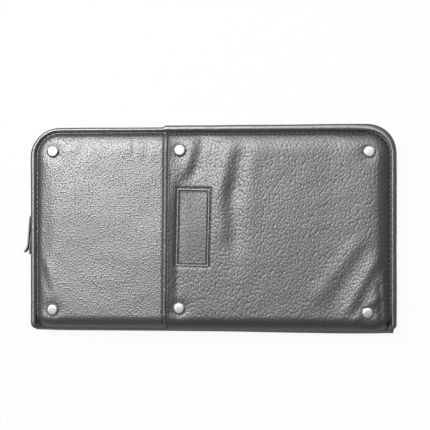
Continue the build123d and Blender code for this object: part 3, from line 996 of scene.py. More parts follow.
PATCH_LEAN = math.radians(-1.2)
PATCH_CENTRE = (PATCH_LOW + PATCH_HIGH) / 2 + Vector((0.2, 0.2, 0)) * MM
PATCH_HALF_W = (PATCH_HIGH.x - PATCH_LOW.x) / 2 + 0.3 * MM
PATCH_HALF_H = (PATCH_HIGH.y - PATCH_LOW.y) / 2 + 0.3 * MM
PATCH_T = PATCH_HIGH.z - PATCH_LOW.z
PATCH_SEAM = 1.9 * MM


def patch_place(a, b):
    """Place on the front of a point of the leaning patch."""
    x = PATCH_CENTRE.x + a * math.cos(PATCH_LEAN) - b * math.sin(PATCH_LEAN)
    y = PATCH_CENTRE.y + a * math.sin(PATCH_LEAN) + b * math.cos(PATCH_LEAN)
    return x, y


def patch_depth(x, y):
    """How far a place lies inside the patch. Negative outside it."""
    dx, dy = x - PATCH_CENTRE.x, y - PATCH_CENTRE.y
    a = dx * math.cos(PATCH_LEAN) + dy * math.sin(PATCH_LEAN)
    b = dy * math.cos(PATCH_LEAN) - dx * math.sin(PATCH_LEAN)
    return min(PATCH_HALF_W - abs(a), PATCH_HALF_H - abs(b))


MOUTH_SEAM = 1.45 * MM
MOUTH_FOLD = 0.45 * MM
MOUTH_FOLD_WIDTH = 3.4 * MM


def pocket_lift(x, y):
    """Height of the pocket's leather above the front cover's."""
    from_mouth = x - mouth_x(y)
    fold = MOUTH_FOLD * (1.0 - min(max(from_mouth / MOUTH_FOLD_WIDTH, 0.0), 1.0) ** 2)
    # The mouth stands a little open, most of all below its middle
    slack = smooth_step(y, 42.0 * MM, 12.0 * MM) * smooth_step(y, -68.0 * MM, -52.0 * MM)
    fold += (0.3 + 1.3 * slack) * MM * (1.0 - smooth_step(from_mouth, -1.0 * MM, 11.0 * MM))
    edge = 1.0 * MM * hump(from_mouth, 0.45 * MM)
    groove = 0.95 * MM * hump(from_mouth - MOUTH_SEAM, 0.5 * MM)
    pressed = 0.6 * MM * hump(patch_depth(x, y) + 0.2 * MM, 0.8 * MM)
    return POCKET_T + fold - edge - groove - pressed


class SHEARS_OT_pocket(bpy.types.Operator):
    """Pebbled slip pocket with a folded mouth"""

    bl_idname = "shears_case.pocket"
    bl_label = "Build Outer Pocket"

    def execute(self, context):
        inset = sizes().seam_inset
        half, top = HALF_W - inset, TOP_Y - inset
        low = COVER_LOW + 1.5 * MM
        near = Vector((1.8, 1.8, 0)) * MM
        out_low, in_low = PATCH_LOW - near, PATCH_LOW + near
        in_high, out_high = PATCH_HIGH - near, PATCH_HIGH + near
        xs = marks(
            (MOUTH_X, 0.22 * MM), (MOUTH_X + 4.0 * MM, PLAIN), (out_low.x, FINE), (in_low.x, PLAIN),
            (in_high.x, FINE), (out_high.x, PLAIN), (half - BORDER, FINE), end=half)
        ys = marks(
            (low, PLAIN), (out_low.y, FINE), (in_low.y, PLAIN), (in_high.y, FINE), (out_high.y, PLAIN),
            (top - BORDER, FINE), end=top)

        def place(x, y):
            x, y = rounded(x, y, inset)
            x += (mouth_x(y) - MOUTH_X) * (1.0 - smooth_step(x, MOUTH_X + 3.0 * MM, MOUTH_X + 15.0 * MM))
            return rolled(x, y, front_height(x, y) + pocket_lift(x, y))

        def under(co):
            y = unrolled(co)
            return rolled(co.x, y, front_height(co.x, y) + 0.02 * MM)

        bm = thickened(grid_on(xs, ys, place), under)
        node = "outer_pocket_panel"
        piece("outer_pocket", bm, "pebbled_leather", "front_half", (node,))

        def edge(y, out, up):
            x = mouth_x(y) + 0.45 * MM
            return rolled(x + out, y, front_height(x, y) + pocket_lift(x + 0.3 * MM, y) - 0.1 * MM + up)

        bm = swept(rounded_bar(0.9 * MM, 1.0 * MM, 0.4 * MM), marks((low, PLAIN), end=top), edge)
        piece("pocket_mouth_edge", bm, "edge_leather", "front_half")

        places = []
        for share in along_line((0, COVER_LOW, 0), (0, top, 0), sizes().stitch_pitch):
            y = COVER_LOW + share * (top - 1.0 * MM - COVER_LOW)
            x = mouth_x(y) + MOUTH_SEAM
            centre = rolled(x, y, front_height(x, y) + pocket_lift(x, y) + 0.12 * MM)
            places.append((centre, surface_up(x, y).cross(Vector((-1, 0, 0))), surface_up(x, y)))
        piece("pocket_mouth_stitches", stitch_mesh(places, slant=4.0), "thread", "front_half")
        return {"FINISHED"}


class SHEARS_OT_label_patch(bpy.types.Operator):
    """Bare leather patch with a turned rim, sewn to the pocket"""

    bl_idname = "shears_case.label_patch"
    bl_label = "Build Label Patch"

    def execute(self, context):
        def lift(a, b):
            inside = min(PATCH_HALF_W - abs(a), PATCH_HALF_H - abs(b))
            rim = PATCH_T * (1.0 - hump(inside + 0.05 * MM, 0.4 * MM))
            seam = 0.5 * MM * hump(inside - PATCH_SEAM, 0.42 * MM)
            field = 0.3 * MM * min(max((inside - PATCH_SEAM) / (1.0 * MM), 0.0), 1.0)
            return POCKET_T - 0.3 * MM * (inside < 0.3 * MM) + rim - seam - field

        def place(a, b):
            x, y = patch_place(a, b)
            return rolled(x, y, front_height(x, y) + lift(a, b))

        def under(co):
            return rolled(co.x, co.y, front_height(co.x, co.y) + POCKET_T - 0.3 * MM)

        rim = 3.2 * MM
        w, h = PATCH_HALF_W, PATCH_HALF_H
        xs, ys = (rim_marks(-half, half, rim, 0.2 * MM, PLAIN) for half in (w, h))
        bm = thickened(grid_on(xs, ys, place), under)
        piece("label_patch_leather", bm, "patch_leather", "front_half", ("label_patch",))

        def rim_bar(first, last):
            way = (last - first).normalized()

            def edge(s, out, up):
                at = first + way * s + Vector((way.y, -way.x, 0)) * out
                x, y = patch_place(at.x, at.y)
                return rolled(x, y, front_height(x, y) + POCKET_T + PATCH_T - 0.35 * MM + up)

            past = 0.45 * MM
            stations = marks((-past, PLAIN), end=(last - first).length + past)
            return swept(rounded_bar(1.35 * MM, 1.2 * MM, 0.5 * MM), stations, edge)

        bars = [rim_bar(*side) for side in rectangle(w - 0.7 * MM, h - 0.7 * MM)]
        piece("label_patch_rim", joined(*bars), "edge_leather", "front_half")

        places = []
        for first, last in rectangle(w - PATCH_SEAM, h - PATCH_SEAM):
            along = (last - first).normalized()
            along.rotate(Matrix.Rotation(PATCH_LEAN, 3, "Z"))
            for share in along_line(first, last, sizes().stitch_pitch * 0.9):
                spot = first.lerp(last, share)
                x, y = patch_place(spot.x, spot.y)
                centre = rolled(x, y, front_height(x, y) + lift(spot.x, spot.y) + 0.1 * MM)
                places.append((centre, along, Vector((0, 0, 1))))
        bm = stitch_mesh(places, 2.4 * MM, 0.6 * MM, 5.0)
        piece("label_patch_stitches", bm, "thread", "front_half")
        return {"FINISHED"}


PIPING_END_Y = PIPING_LOW.y - 0.4 * MM
FLANGE_T = 0.8 * MM
FLANGE_W = 2.6 * MM


def piping_push(at, front):
    """How far the piping stands out past its plain place. The pocket's layers push the front one out."""
    push = 0.22 * MM * noise.noise(Vector((at.x * 30.0, at.y * 30.0, 3.0 if front else 9.0)))
    if front:
        # Along the far edge only: in beside the plain leather, and out beside the pocket
        layers = -0.7 * MM + 1.3 * MM * smooth_step(at.x, MOUTH_X - 1.2 * MM, MOUTH_X + 0.4 * MM)
        layers += 0.4 * MM * smooth_step(at.x, 0.0, 110.0 * MM)
        push += layers * smooth_step(at.y, TOP_Y - 22.0 * MM, TOP_Y - 4.0 * MM)
    return push


def piping_mesh(front):
    """Round cord in leather along the three open edges, with its flange, and its ends tucked in."""
    inset = PIPING_R
    total = edge_length(inset, PIPING_END_Y)
    end = 5.0 * MM
    stations = rim_marks(0.0, total, end, 0.4 * MM, 1.2 * MM)

    def place(s, out, up):
        at, way = edge_place(inset, PIPING_END_Y, s)
        tuck = max(1.0 - min(s, total - s) / end, 0.0) ** 2 * (1.5 if at.x > 0 else 1.0)
        thin = 1.0 - 0.55 * tuck ** 3
        grain = 0.07 * MM * noise.noise(Vector((s * 420.0, out * 300.0, up * 300.0)))
        slim = (1.0 + grain / PIPING_R) * thin
        outer = 0.5 + 0.5 * out / PIPING_R
        spot = at + way * (out * slim + piping_push(at, front) * outer - 1.6 * MM * tuck)
        lean = 0.5 * smooth_step(at.x, 100.0 * MM, 128.0 * MM)
        spot.z = PIPING_Z + up * slim - 0.8 * MM * tuck - lean * out * thin
        return spot

    def flange_place(s, out, up):
        at, way = edge_place(inset + FLANGE_W / 2, PIPING_END_Y, s)
        # Near its ends the flange slopes down under the rolled edge
        if out < 0:
            near_end = smooth_step(at.y, ROLL_Y + 1.0 * MM, ROLL_Y - 4.0 * MM)
            out -= 0.9 * MM * near_end
            up -= 1.8 * MM * near_end
        spot = at + way * out
        spot.z = PIPING_Z - 2.2 * MM + up
        return spot

    bm = swept(full_bar(PIPING_R + 0.15 * MM), stations, place)
    stations = marks((0.0, 2.5 * MM), end=edge_length(inset + FLANGE_W / 2, PIPING_END_Y))
    return joined(bm, swept(rounded_bar(FLANGE_W, FLANGE_T, 0.2 * MM), stations, flange_place))


class SHEARS_OT_piping(bpy.types.Operator):
    """Leather-covered cord round the open edges of both halves"""

    bl_idname = "shears_case.piping"
    bl_label = "Build Piping"

    def execute(self, context):
        for half in HALVES:
            bm = for_half(half, piping_mesh(half == "front"))
            node = f"{half}_piping"
            piece(f"{half}_edge_piping", bm, "edge_leather", f"{half}_half", (node,))
        return {"FINISHED"}


PARTED = TEETH_HIGH.z - MID_Z - 1.6 * MM
PART_START_Y = SLIDER_HIGH.y - 0.5 * MM
PART_END_Y = SLIDER_LOW.y + 2.1 * MM
TOOTH_FOOT = 1.6 * MM
TOOTH_DEPTH = 3.0 * MM
# Width, depth, lowest and highest place of a tooth's foot and of its head
TOOTH_PARTS = [
    (1.5 * MM, TOOTH_DEPTH, 0.3 * MM, TOOTH_FOOT),
    (1.05 * MM, 0.8 * TOOTH_DEPTH, -0.8 * MM, 0.5 * MM),
]
CHAIN_INSET = HALF_W - TEETH_HIGH.x + TOOTH_DEPTH / 2
CHAIN_END_Y = TEETH_LOW.y + 0.75 * MM
TAPE_T = 0.6 * MM


def parted(at):
    """How far a chain stands off the zip plane at a point, where the slider has opened it."""
    if at.x > 0:
        return 0.0
    return PARTED * (1.0 - smooth_step(at.y, PART_END_Y, PART_START_Y))


def edge_band(section, inset, low, z, part=False):
    """Bar along the open edges with its middle at height z. Its lower edge follows the parted chain."""
    total = edge_length(inset, low)

    def place(s, out, up):
        at, way = edge_place(inset, low, s)
        spot = at + way * out
        spot.z = z + up + (parted(at) if part and up < 0 else 0.0)
        return spot

    return swept(section, marks((0.0, 1.5 * MM), end=total), place)


def edge_stitches(inset, low, z):
    """Stitches on the outside of a side wall, at height z."""
    pitch = 3.2 * MM
    places = []
    for i in range(1, int(edge_length(inset, low) / pitch)):
        at, way = edge_place(inset, low, i * pitch)
        at.z = z
        places.append((at, Vector((way.y, -way.x, 0)), way))
    return stitch_mesh(places, 2.2 * MM, 0.55 * MM, 8.0)


class SHEARS_OT_side_walls(bpy.types.Operator):
    """Leather side walls behind the piping, sewn to the zip tape"""

    bl_idname = "shears_case.side_walls"
    bl_label = "Build Side Walls"

    def execute(self, context):
        width, height = 1.2 * MM, GUSSET_HIGH.z - GUSSET_LOW.z
        inset = HALF_W - GUSSET_HIGH.x + width / 2
        z = (GUSSET_LOW.z + GUSSET_HIGH.z) / 2
        seam_z = GUSSET_LOW.z + 1.5 * MM
        for half in HALVES:
            body = f"{half}_half"
            bm = for_half(half, edge_band(rounded_bar(width, height, 0.45 * MM), inset, GUSSET_LOW.y, z))
            piece(f"{half}_side_wall", bm, "edge_leather", body, (f"{half}_gusset",))
            bm = for_half(half, edge_stitches(inset - width / 2 - 0.05 * MM, GUSSET_LOW.y, seam_z))
            piece(f"{half}_wall_stitches", bm, "thread", body)
        return {"FINISHED"}


def teeth_mesh(start):
    """One chain of zip teeth: a clamped foot and a narrower head on each."""
    pitch = sizes().tooth_pitch
    bm = bmesh.new()
    total = edge_length(CHAIN_INSET, CHAIN_END_Y)
    for i in range(int((total - start) / pitch) + 1):
        at, way = edge_place(CHAIN_INSET, CHAIN_END_Y, start + i * pitch)
        at.z = MID_Z + parted(at)
        along = Vector((way.y, -way.x, 0))
        turn = Matrix((along, way, Vector((0, 0, 1)))).transposed().to_4x4()
        for width, depth, low, high in TOOTH_PARTS:
            size = Matrix.Diagonal((width, depth, high - low, 1))
            middle = Matrix.Translation((0, 0, (low + high) / 2))
            bmesh.ops.create_cube(bm, size=1.0, matrix=Matrix.Translation(at) @ turn @ middle @ size)
    bmesh.ops.bevel(
        bm, geom=bm.edges[:], offset=0.22 * MM, offset_type="OFFSET", segments=1, profile=0.5,
        affect="EDGES", clamp_overlap=True, material=-1)
    return bm


class SHEARS_OT_zip(bpy.types.Operator):
    """Zip: woven tapes, teeth, stops, slider and the pull's link"""

    bl_idname = "shears_case.zip"
    bl_label = "Build Zip"

    def execute(self, context):
        height = TAPE_HIGH.z - MID_Z - TOOTH_FOOT
        z = TAPE_HIGH.z - height / 2
        inset = HALF_W - TAPE_HIGH.x + TAPE_T / 2
        pitch = sizes().tooth_pitch
        for half, start in zip(HALVES, (0.0, pitch / 2)):
            body = f"{half}_half"
            band = edge_band(rounded_bar(TAPE_T, height, 0.2 * MM), inset, TAPE_LOW.y, z, part=True)
            piece(f"{half}_tape", for_half(half, band), "zip_tape", body, (f"{half}_zip_tape",))
            bm = for_half(half, teeth_mesh(start))
            piece(f"{half}_teeth", bm, "zip_metal", body, (f"{half}_zip_teeth",))
            node = f"{half}_zip_stops"
            piece(f"{half}_stops", copy_of(node, 0.25 * MM), "zip_metal", body, (node,))
        bm = copy_of("slider_body", 0.28 * MM)
        piece("zip_slider_body", bm, "zip_metal", "zip_slider", ("slider_body",))
        bm = copy_of("pull_link", 0.3 * MM)
        piece("zip_pull_link", bm, "zip_metal", "zip_pull", ("pull_link",))
        return {"FINISHED"}


def curve_through(points, count):
    """Smooth run of places through points, with the way ahead at each."""
    found = []
    spans = len(points) - 1
    for i in range(count + 1):
        t = i / count * spans
        k = min(int(t), spans - 1)
        t -= k
        p0, p1, p2, p3 = (Vector(points[min(max(k + j, 0), spans)]) for j in (-1, 0, 1, 2))
        bend = 2 * p0 - 5 * p1 + 4 * p2 - p3
        twist = 3 * p1 - p0 - 3 * p2 + p3
        at = 0.5 * (2 * p1 + (p2 - p0) * t + bend * t * t + twist * t ** 3)
        way = 0.5 * ((p2 - p0) + 2 * bend * t + 3 * twist * t * t)
        found.append((at, way.normalized()))
    return found


# Middle lines of the tab's two plies, as (x, y) in mm from the middle of the link's lower bar
TAB_OUTER_PLY = [
    (0.0, 1.9), (-0.9, 1.3), (-1.2, 0.0), (-1.5, -4.0),
    (-2.1, -12.0), (-2.9, -20.4), (-4.0, -23.2), (-5.7, -25.6),
]
TAB_INNER_PLY = [
    (0.0, 1.9), (0.9, 1.3), (1.1, 0.0), (0.3, -6.0), (-0.6, -14.0), (-1.2, -20.0), (-1.5, -27.2),
]
TAB_PLY_T = 1.15 * MM
LINK_BAR = 1.0 * MM
TAB_STEPS = 60


class SHEARS_OT_pull_tab(bpy.types.Operator):
    """Leather strip folded over the link, with two stitched plies"""

    bl_idname = "shears_case.pull_tab"
    bl_label = "Build Pull Tab"

    def execute(self, context):
        bar = Vector((LINK_LOW.x + LINK_BAR / 2, LINK_LOW.y + LINK_BAR / 2, MID_Z))
        width = TAB_HIGH.z - TAB_LOW.z
        outer, inner = (
            curve_through([bar + Vector((x, y, 0)) * MM for x, y in points], TAB_STEPS)
            for points in (TAB_OUTER_PLY, TAB_INNER_PLY))

        def ply(line):
            def place(s, out, up):
                at, way = line[round(s)]
                return at + Vector((-way.y, way.x, 0)) * out + Vector((0, 0, up))

            return swept(rounded_bar(TAB_PLY_T, width, 0.4 * MM), range(TAB_STEPS + 1), place)

        bm = joined(ply(outer), ply(inner))
        piece("zip_pull_tab", bm, "edge_leather", "zip_pull", ("pull_tab",))

        places = []
        for side in (-1, 1):
            aside = Vector((0, 0, side * (width / 2 - 1.3 * MM)))
            for at, way in outer[8:-4:4]:
                out = Vector((way.y, -way.x, 0))
                places.append((at + out * (TAB_PLY_T / 2 + 0.02 * MM) + aside, way, out))
        piece("pull_tab_stitches", stitch_mesh(places, 1.5 * MM, 0.45 * MM, 0.0), "thread", "zip_pull")
        return {"FINISHED"}


# Outlines of a rivet's dome and foot from the axis outwards, as (radius, height) in mm
DOME_PROFILE = [
    (0.0, 1.12), (1.5, 1.11), (2.7, 1.08), (3.5, 1.03), (3.75, 0.95), (3.9, 0.84), (4.05, 0.81),
    (4.25, 0.73), (4.42, 0.50), (4.48, 0.2), (4.35, -0.6),
]
DOME_LIFT = 0.35
FOOT_PROFILE = [
    (0.0, -0.9), (2.2, -0.86), (3.2, -0.72), (3.75, -0.5), (4.0, -0.2), (4.0, 0.02), (1.5, 0.02),
    (1.5, 7.0),
]


class SHEARS_OT_rivets(bpy.types.Operator):
    """Six double-cap rivets"""

    bl_idname = "shears_case.rivets"
    bl_label = "Build Rivets"

    def execute(self, context):
        seats = [RIVET_SEAT_Z + (POCKET_T if x > MOUTH_X else 0.0) for x, _ in RIVET_PLACES]
        places = [Vector((x, y, z)) for (x, y), z in zip(RIVET_PLACES, seats)]
        bm = spun([(r * MM, (z + DOME_LIFT) * MM) for r, z in DOME_PROFILE], places)
        piece("rivet_domes", bm, "rivet_metal", "front_half", ("rivet_caps",))
        places = [Vector((x, y, BASES_LOW.z + 0.9 * MM)) for x, y in RIVET_PLACES]
        bm = spun([(r * MM, z * MM) for r, z in FOOT_PROFILE], places)
        piece("rivet_feet", bm, "rivet_metal", "front_half", ("rivet_bases",))
        return {"FINISHED"}


SPINE_BULGE = HINGE_Y - SPINE_LOW.y
LEATHER_T = 1.4 * MM


def spine_y(x, z):
    """Outside of the spine strip. Past the creases it tucks in under the covers' rolled edges."""
    half = SPINE_HIGH.z - MID_Z
    off = z - MID_Z
    # Fuller towards the right, and slimmer at both ends
    more = -0.2 * MM + 0.9 * MM * smooth_step(x, -20.0 * MM, 100.0 * MM)
    more -= 0.4 * MM * smooth_step(abs(x), 118.0 * MM, SPINE_HIGH.x)
    uneven = 0.18 * MM * noise.noise(Vector((x * 28.0, z * 60.0, 2.0)))
    if abs(off) <= half:
        return HINGE_Y - (SPINE_BULGE + more + uneven) * (1 - (off / half) ** 2)
    return HINGE_Y + (abs(off) - half) * 1.1


class SHEARS_OT_spine(bpy.types.Operator):
    """Spine strip in two halves that turn in past its two creases, and its lining"""

    bl_idname = "shears_case.spine"
    bl_label = "Build Spine"

    def execute(self, context):
        half_x = SPINE_HIGH.x
        xs = marks((-half_x, 2.0 * MM), end=half_x)
        tuck = 1.1 * MM
        ends = (("back", SPINE_LOW.z, -1), ("front", SPINE_HIGH.z, 1))
        for half, crease, way in ends:
            zs = marks((MID_Z, way * 0.55 * MM), (crease, way * 0.3 * MM), end=crease + way * tuck)
            bm = grid_on(xs, zs, lambda x, z: Vector((x, spine_y(x, z), z)))
            thickened(bm, lambda co: co + Vector((0, LEATHER_T * 0.95, 0)))
            stands_for = ("spine_leather",) if half == "front" else ()
            made = piece(f"{half}_spine_strip", bm, "smooth_leather", None, stands_for)
            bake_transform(made)
        y = SPINE_LINING_LOW.y
        thick = SPINE_LINING_HIGH.y - y
        half_x = SPINE_LINING_HIGH.x
        xs = marks((-half_x, 3.0 * MM), end=half_x)
        zs = marks((SPINE_LINING_LOW.z, 1.2 * MM), end=SPINE_LINING_HIGH.z)
        bm = grid_on(xs, zs, lambda x, z: Vector((x, y + thick, z)))
        thickened(bm, lambda co: co - Vector((0, thick, 0)))
        made = piece("spine_cloth", bm, "lining", "spine", ("spine_lining",))
        return {"FINISHED"}


LINING_INSET = HALF_W - LINING_HIGH.x
LINING_T = 0.8 * MM
LINING_ROLL_R = 16.4 * MM
LINING_ROLL_TURN = math.radians(45.0)
LINING_FLAT_Y = ROLL_Y + 1.0 * MM
LINING_Z = PANEL_HIGH.z


def lining_sheet():
    """Cloth inside a cover, curling outwards to the rolled edge."""
    half, top = HALF_W - LINING_INSET, TOP_Y - LINING_INSET
    r = LINING_ROLL_R - LINING_T
    low = LINING_FLAT_Y - r * LINING_ROLL_TURN
    centre_z = LINING_Z - r

    def place(x, y):
        x, y = rounded(x, y, LINING_INSET)
        slack = 0.10 * MM * noise.noise(Vector((x * 35.0, y * 35.0, 4.0)))
        if y >= LINING_FLAT_Y:
            return Vector((x, y, LINING_Z + slack))
        turn = (LINING_FLAT_Y - y) / r
        return Vector((x, LINING_FLAT_Y - r * math.sin(turn), centre_z + r * math.cos(turn)))

    def back(co):
        if co.y >= LINING_FLAT_Y:
            return Vector((co.x, co.y, LINING_Z + LINING_T))
        away = Vector((0, co.y - LINING_FLAT_Y, co.z - centre_z)).normalized()
        return co + away * LINING_T

    bm = grid_on(marks((-half, 2.4 * MM), end=half), marks((low, 2.4 * MM), end=top), place)
    cut = (2 * half, top - low)
    r = sizes().corner_radius - LINING_INSET
    area = cut[0] * cut[1] - (2 - math.pi / 2) * r * r
    return thickened(bm, back), cut, area


class SHEARS_OT_linings(bpy.types.Operator):
    """Woven lining inside both covers"""

    bl_idname = "shears_case.linings"
    bl_label = "Build Linings"

    def execute(self, context):
        for half in HALVES:
            bm, cut, area = lining_sheet()
            bm = for_half(half, bm)
            made = piece(f"{half}_cloth", bm, "lining", f"{half}_half", (f"{half}_lining",))
        for node in ("front_board", "back_board", "spine_board"):
            held = frame["nodes"][node]
            if not held.material_slots:
                held.data.materials.append(None)
            held.material_slots[0].link = "OBJECT"
            held.material_slots[0].material = finish_named("board")
        return {"FINISHED"}


class SHEARS_OT_tool_panel(bpy.types.Operator):
    """Leather panel inside the front cover, held by the rivets and a seam"""

    bl_idname = "shears_case.tool_panel"
    bl_label = "Build Tool Panel"

    def execute(self, context):
        r, rim, seam_inset = 4.0 * MM, 4.5 * MM, 3.0 * MM
        middle = (PANEL_LOW + PANEL_HIGH) / 2
        half_x, half_y = (PANEL_HIGH.x - PANEL_LOW.x) / 2, (PANEL_HIGH.y - PANEL_LOW.y) / 2

        def place(a, b):
            a, b = round_corner(a, b, half_x - r, half_y - r)
            inside = min(half_x - abs(a), half_y - abs(b))
            edge = 0.45 * MM * hump(inside, 0.5 * MM)
            seam = 0.25 * MM * hump(inside - seam_inset, 0.7 * MM)
            wave = 0.10 * MM * noise.noise(Vector((a * 30.0, b * 30.0, 6.0)))
            return Vector((middle.x + a, middle.y + b, PANEL_LOW.z + edge + seam + wave))

        xs, ys = (rim_marks(-half, half, rim, FINE, 2 * PLAIN) for half in (half_x, half_y))
        bm = thickened(grid_on(xs, ys, place), lambda co: Vector((co.x, co.y, PANEL_HIGH.z - 0.02 * MM)))
        piece("tool_panel_leather", bm, "tool_leather", "front_half", ("tool_panel",))
        places = []
        for first, last in rectangle(half_x - seam_inset, half_y - seam_inset):
            way = (last - first).normalized()
            for share in along_line(first, last, sizes().stitch_pitch):
                at = middle + first.lerp(last, share)
                at.z = PANEL_LOW.z + 0.12 * MM
                places.append((at, way, Vector((0, 0, -1))))
        piece("tool_panel_stitches", stitch_mesh(places), "thread", "front_half")
        return {"FINISHED"}


HUMP_SIDES = 16


def humped(count, pitch, width, rise, flats):
    """Strip with open humps in a row, as (y, z) points from one end to the other, around y = 0."""
    r = (width ** 2 / 4 + rise ** 2) / (2 * rise)
    turn = math.asin(min(width / 2 / r, 1.0))
    if rise > r:
        turn = math.pi - turn
    points = []
    length = pitch * count
    for i in range(count):
        middle = (i - (count - 1) / 2) * pitch
        start = -length / 2 if i == 0 else middle - pitch / 2
        for j in range(flats):
            points.append((start + (middle - width / 2 - start) * j / flats, 0.0))
        for j in range(HUMP_SIDES + 1):
            a = -turn + 2 * turn * j / HUMP_SIDES
            points.append((middle + r * math.sin(a), rise - r + r * math.cos(a)))
    points += [(length / 2 - (pitch - width) / 2 * (1 - j / flats), 0.0) for j in range(1, flats + 1)]
    return points


def humped_mesh(points, xs, base_y, base_z, way, thick, taper=None):
    """Humped strip from xs[0] to xs[-1], standing way (1 up, -1 down) from base_z."""
    run = [0.0]
    for here, there in zip(points, points[1:]):
        run.append(run[-1] + math.dist(here, there))
    by_run = dict(zip(run, points))

    def place(x, s):
        y, z = by_run[s]
        sag = 1.0 if taper is None else taper(x)
        slack = 0.12 * MM * noise.noise(Vector((x * 60.0, y * 60.0, 8.0))) * min(z / MM, 1.0)
        return Vector((x, base_y + y, base_z + way * (0.02 * MM + z * sag + slack)))

    bm = grid_on(xs, run, place)
    bmesh.ops.recalc_face_normals(bm, faces=bm.faces[:])
    flat_face = min(bm.faces, key=lambda face: abs(face.calc_center_median().z - base_z))
    if flat_face.normal.z * way < 0:
        bmesh.ops.reverse_faces(bm, faces=bm.faces[:])
    bmesh.ops.solidify(bm, geom=bm.faces[:], thickness=-thick)
    bmesh.ops.recalc_face_normals(bm, faces=bm.faces[:])
    return bm


INSIDE_Y = (SHEAR_LOW.y + SHEAR_HIGH.y) / 2


def row_stitches(low_x, high_x, count, pitch, inset, z, way, step):
    """Places of the seams beside and between count humps, the two end seams drawn in by inset."""
    places = []
    for i in range(count + 1):
        y = INSIDE_Y + (i - count / 2) * pitch
        y += inset * ((i == 0) - (i == count))
        for share in along_line((low_x, y, 0), (high_x, y, 0), step):
            x = low_x + (high_x - low_x) * share
            places.append((Vector((x, y, z)), Vector((1, 0, 0)), Vector((0, 0, way))))
    return places


class SHEARS_OT_elastic_loops(bpy.types.Operator):
    """Looped elastic bands on the tool panel"""

    bl_idname = "shears_case.elastic_loops"
    bl_label = "Build Elastic Loops"

    def execute(self, context):
        count, pitch, width, rise, thick = 5, 23.0 * MM, 19.0 * MM, 5.6 * MM, 1.0 * MM
        points = humped(count, pitch, width, rise, 3)
        for side in ("left", "right"):
            node = f"{side}_elastic_band"
            low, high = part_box(node)
            xs = marks((low.x, 1.5 * MM), end=high.x)
            bm = humped_mesh(points, xs, INSIDE_Y, PANEL_LOW.z, -1, thick)
            piece(f"{side}_elastic_loops", bm, "elastic", "front_half", (node,))
            z = PANEL_LOW.z - thick - 0.1 * MM
            places = row_stitches(low.x, high.x, count, pitch, 1.2 * MM, z, -1, 2.6 * MM)
            bm = stitch_mesh(places, 2.0 * MM, 0.6 * MM, 0.0)
            piece(f"{side}_elastic_stitches", bm, "thread", "front_half")
        return {"FINISHED"}


class SHEARS_OT_shear_channels(bpy.types.Operator):
    """Four sewn leather channels for the blades, shut at the far end"""

    bl_idname = "shears_case.shear_channels"
    bl_label = "Build Shear Channels"

    def execute(self, context):
        count, pitch, width, rise, thick = 4, 32.0 * MM, 29.0 * MM, 7.6 * MM, 1.2 * MM
        points = humped(count, pitch, width, rise, 2)
        low, high = SHEAR_LOW, SHEAR_HIGH
        shut = 9.0 * MM
        xs = marks((low.x, 2.2 * MM), (high.x - shut, 0.8 * MM), end=high.x)

        def taper(x):
            past = max(x - (high.x - shut), 0.0) / shut
            return math.sqrt(max(1.0 - past * past, 0.0))

        base_z = CASE_T - LINING_Z
        bm = humped_mesh(points, xs, INSIDE_Y, base_z, 1, thick, taper)
        piece("shear_channels", bm, "tool_leather", "back_half", ("shear_pocket_panel",))
        z = base_z + thick + 0.15 * MM
        places = row_stitches(low.x, high.x, count, pitch, 0.9 * MM, z, 1, sizes().stitch_pitch)
        piece("shear_channel_stitches", stitch_mesh(places, width=0.6 * MM), "thread", "back_half")
        return {"FINISHED"}


class SHEARS_OT_stage(bpy.types.Operator):
    """Floor, soft lamps, world and camera"""

    bl_idname = "shears_case.stage"
    bl_label = "Build Stage"

    def execute(self, context):
        scene = context.scene
        scene.view_settings.view_transform = "Standard"
        bm = bmesh.new()
        bmesh.ops.create_grid(bm, x_segments=2, y_segments=2, size=4.0)
        mesh = bpy.data.meshes.new("floor")
        bmesh.ops.translate(bm, verts=bm.verts, vec=(0, 0, CAD_BOX[0][2] - 0.1 * MM))
        bm.to_mesh(mesh)
        bm.free()
        floor = bpy.data.objects.new("floor", mesh)
        scene.collection.objects.link(floor)
        mesh.materials.append(floor_finish())
        world_light(scene)
        lamp("key_light", (-0.42, 0.35, 1.20), 0.4, 7.0)
        lamp("fill_light", (0.65, 0.75, 1.1), 0.9, 1.5)
        camera(scene)
        return {"FINISHED"}


FLOOR_GLOW = 1.06
FLOOR_GLOW_SHARE = 0.88


def floor_finish():
    """Plain floor that shows nearly white to the camera and keeps a soft shadow."""
    f = Finish("floor", colours().floor, 0.9)
    tree = f.tree
    path = tree.nodes.new("ShaderNodeLightPath")
    glow = tree.nodes.new("ShaderNodeEmission")
    glow.inputs["Strength"].default_value = FLOOR_GLOW
    mix = tree.nodes.new("ShaderNodeMixShader")
    f.link(f.math("MULTIPLY", path.outputs["Is Camera Ray"], FLOOR_GLOW_SHARE), mix.inputs["Fac"])
    f.link(f.shader.outputs["BSDF"], mix.inputs[1])
    f.link(glow.outputs["Emission"], mix.inputs[2])
    f.link(mix.outputs["Shader"], tree.nodes["Material Output"].inputs["Surface"])
    return f.material


LIGHT_WAY = Vector((-0.20, 0.42, 0.91)).normalized()
LIGHT_POWER = 12.0
LIGHT_PEAK = 3.7
LIGHT_BASE = 0.10


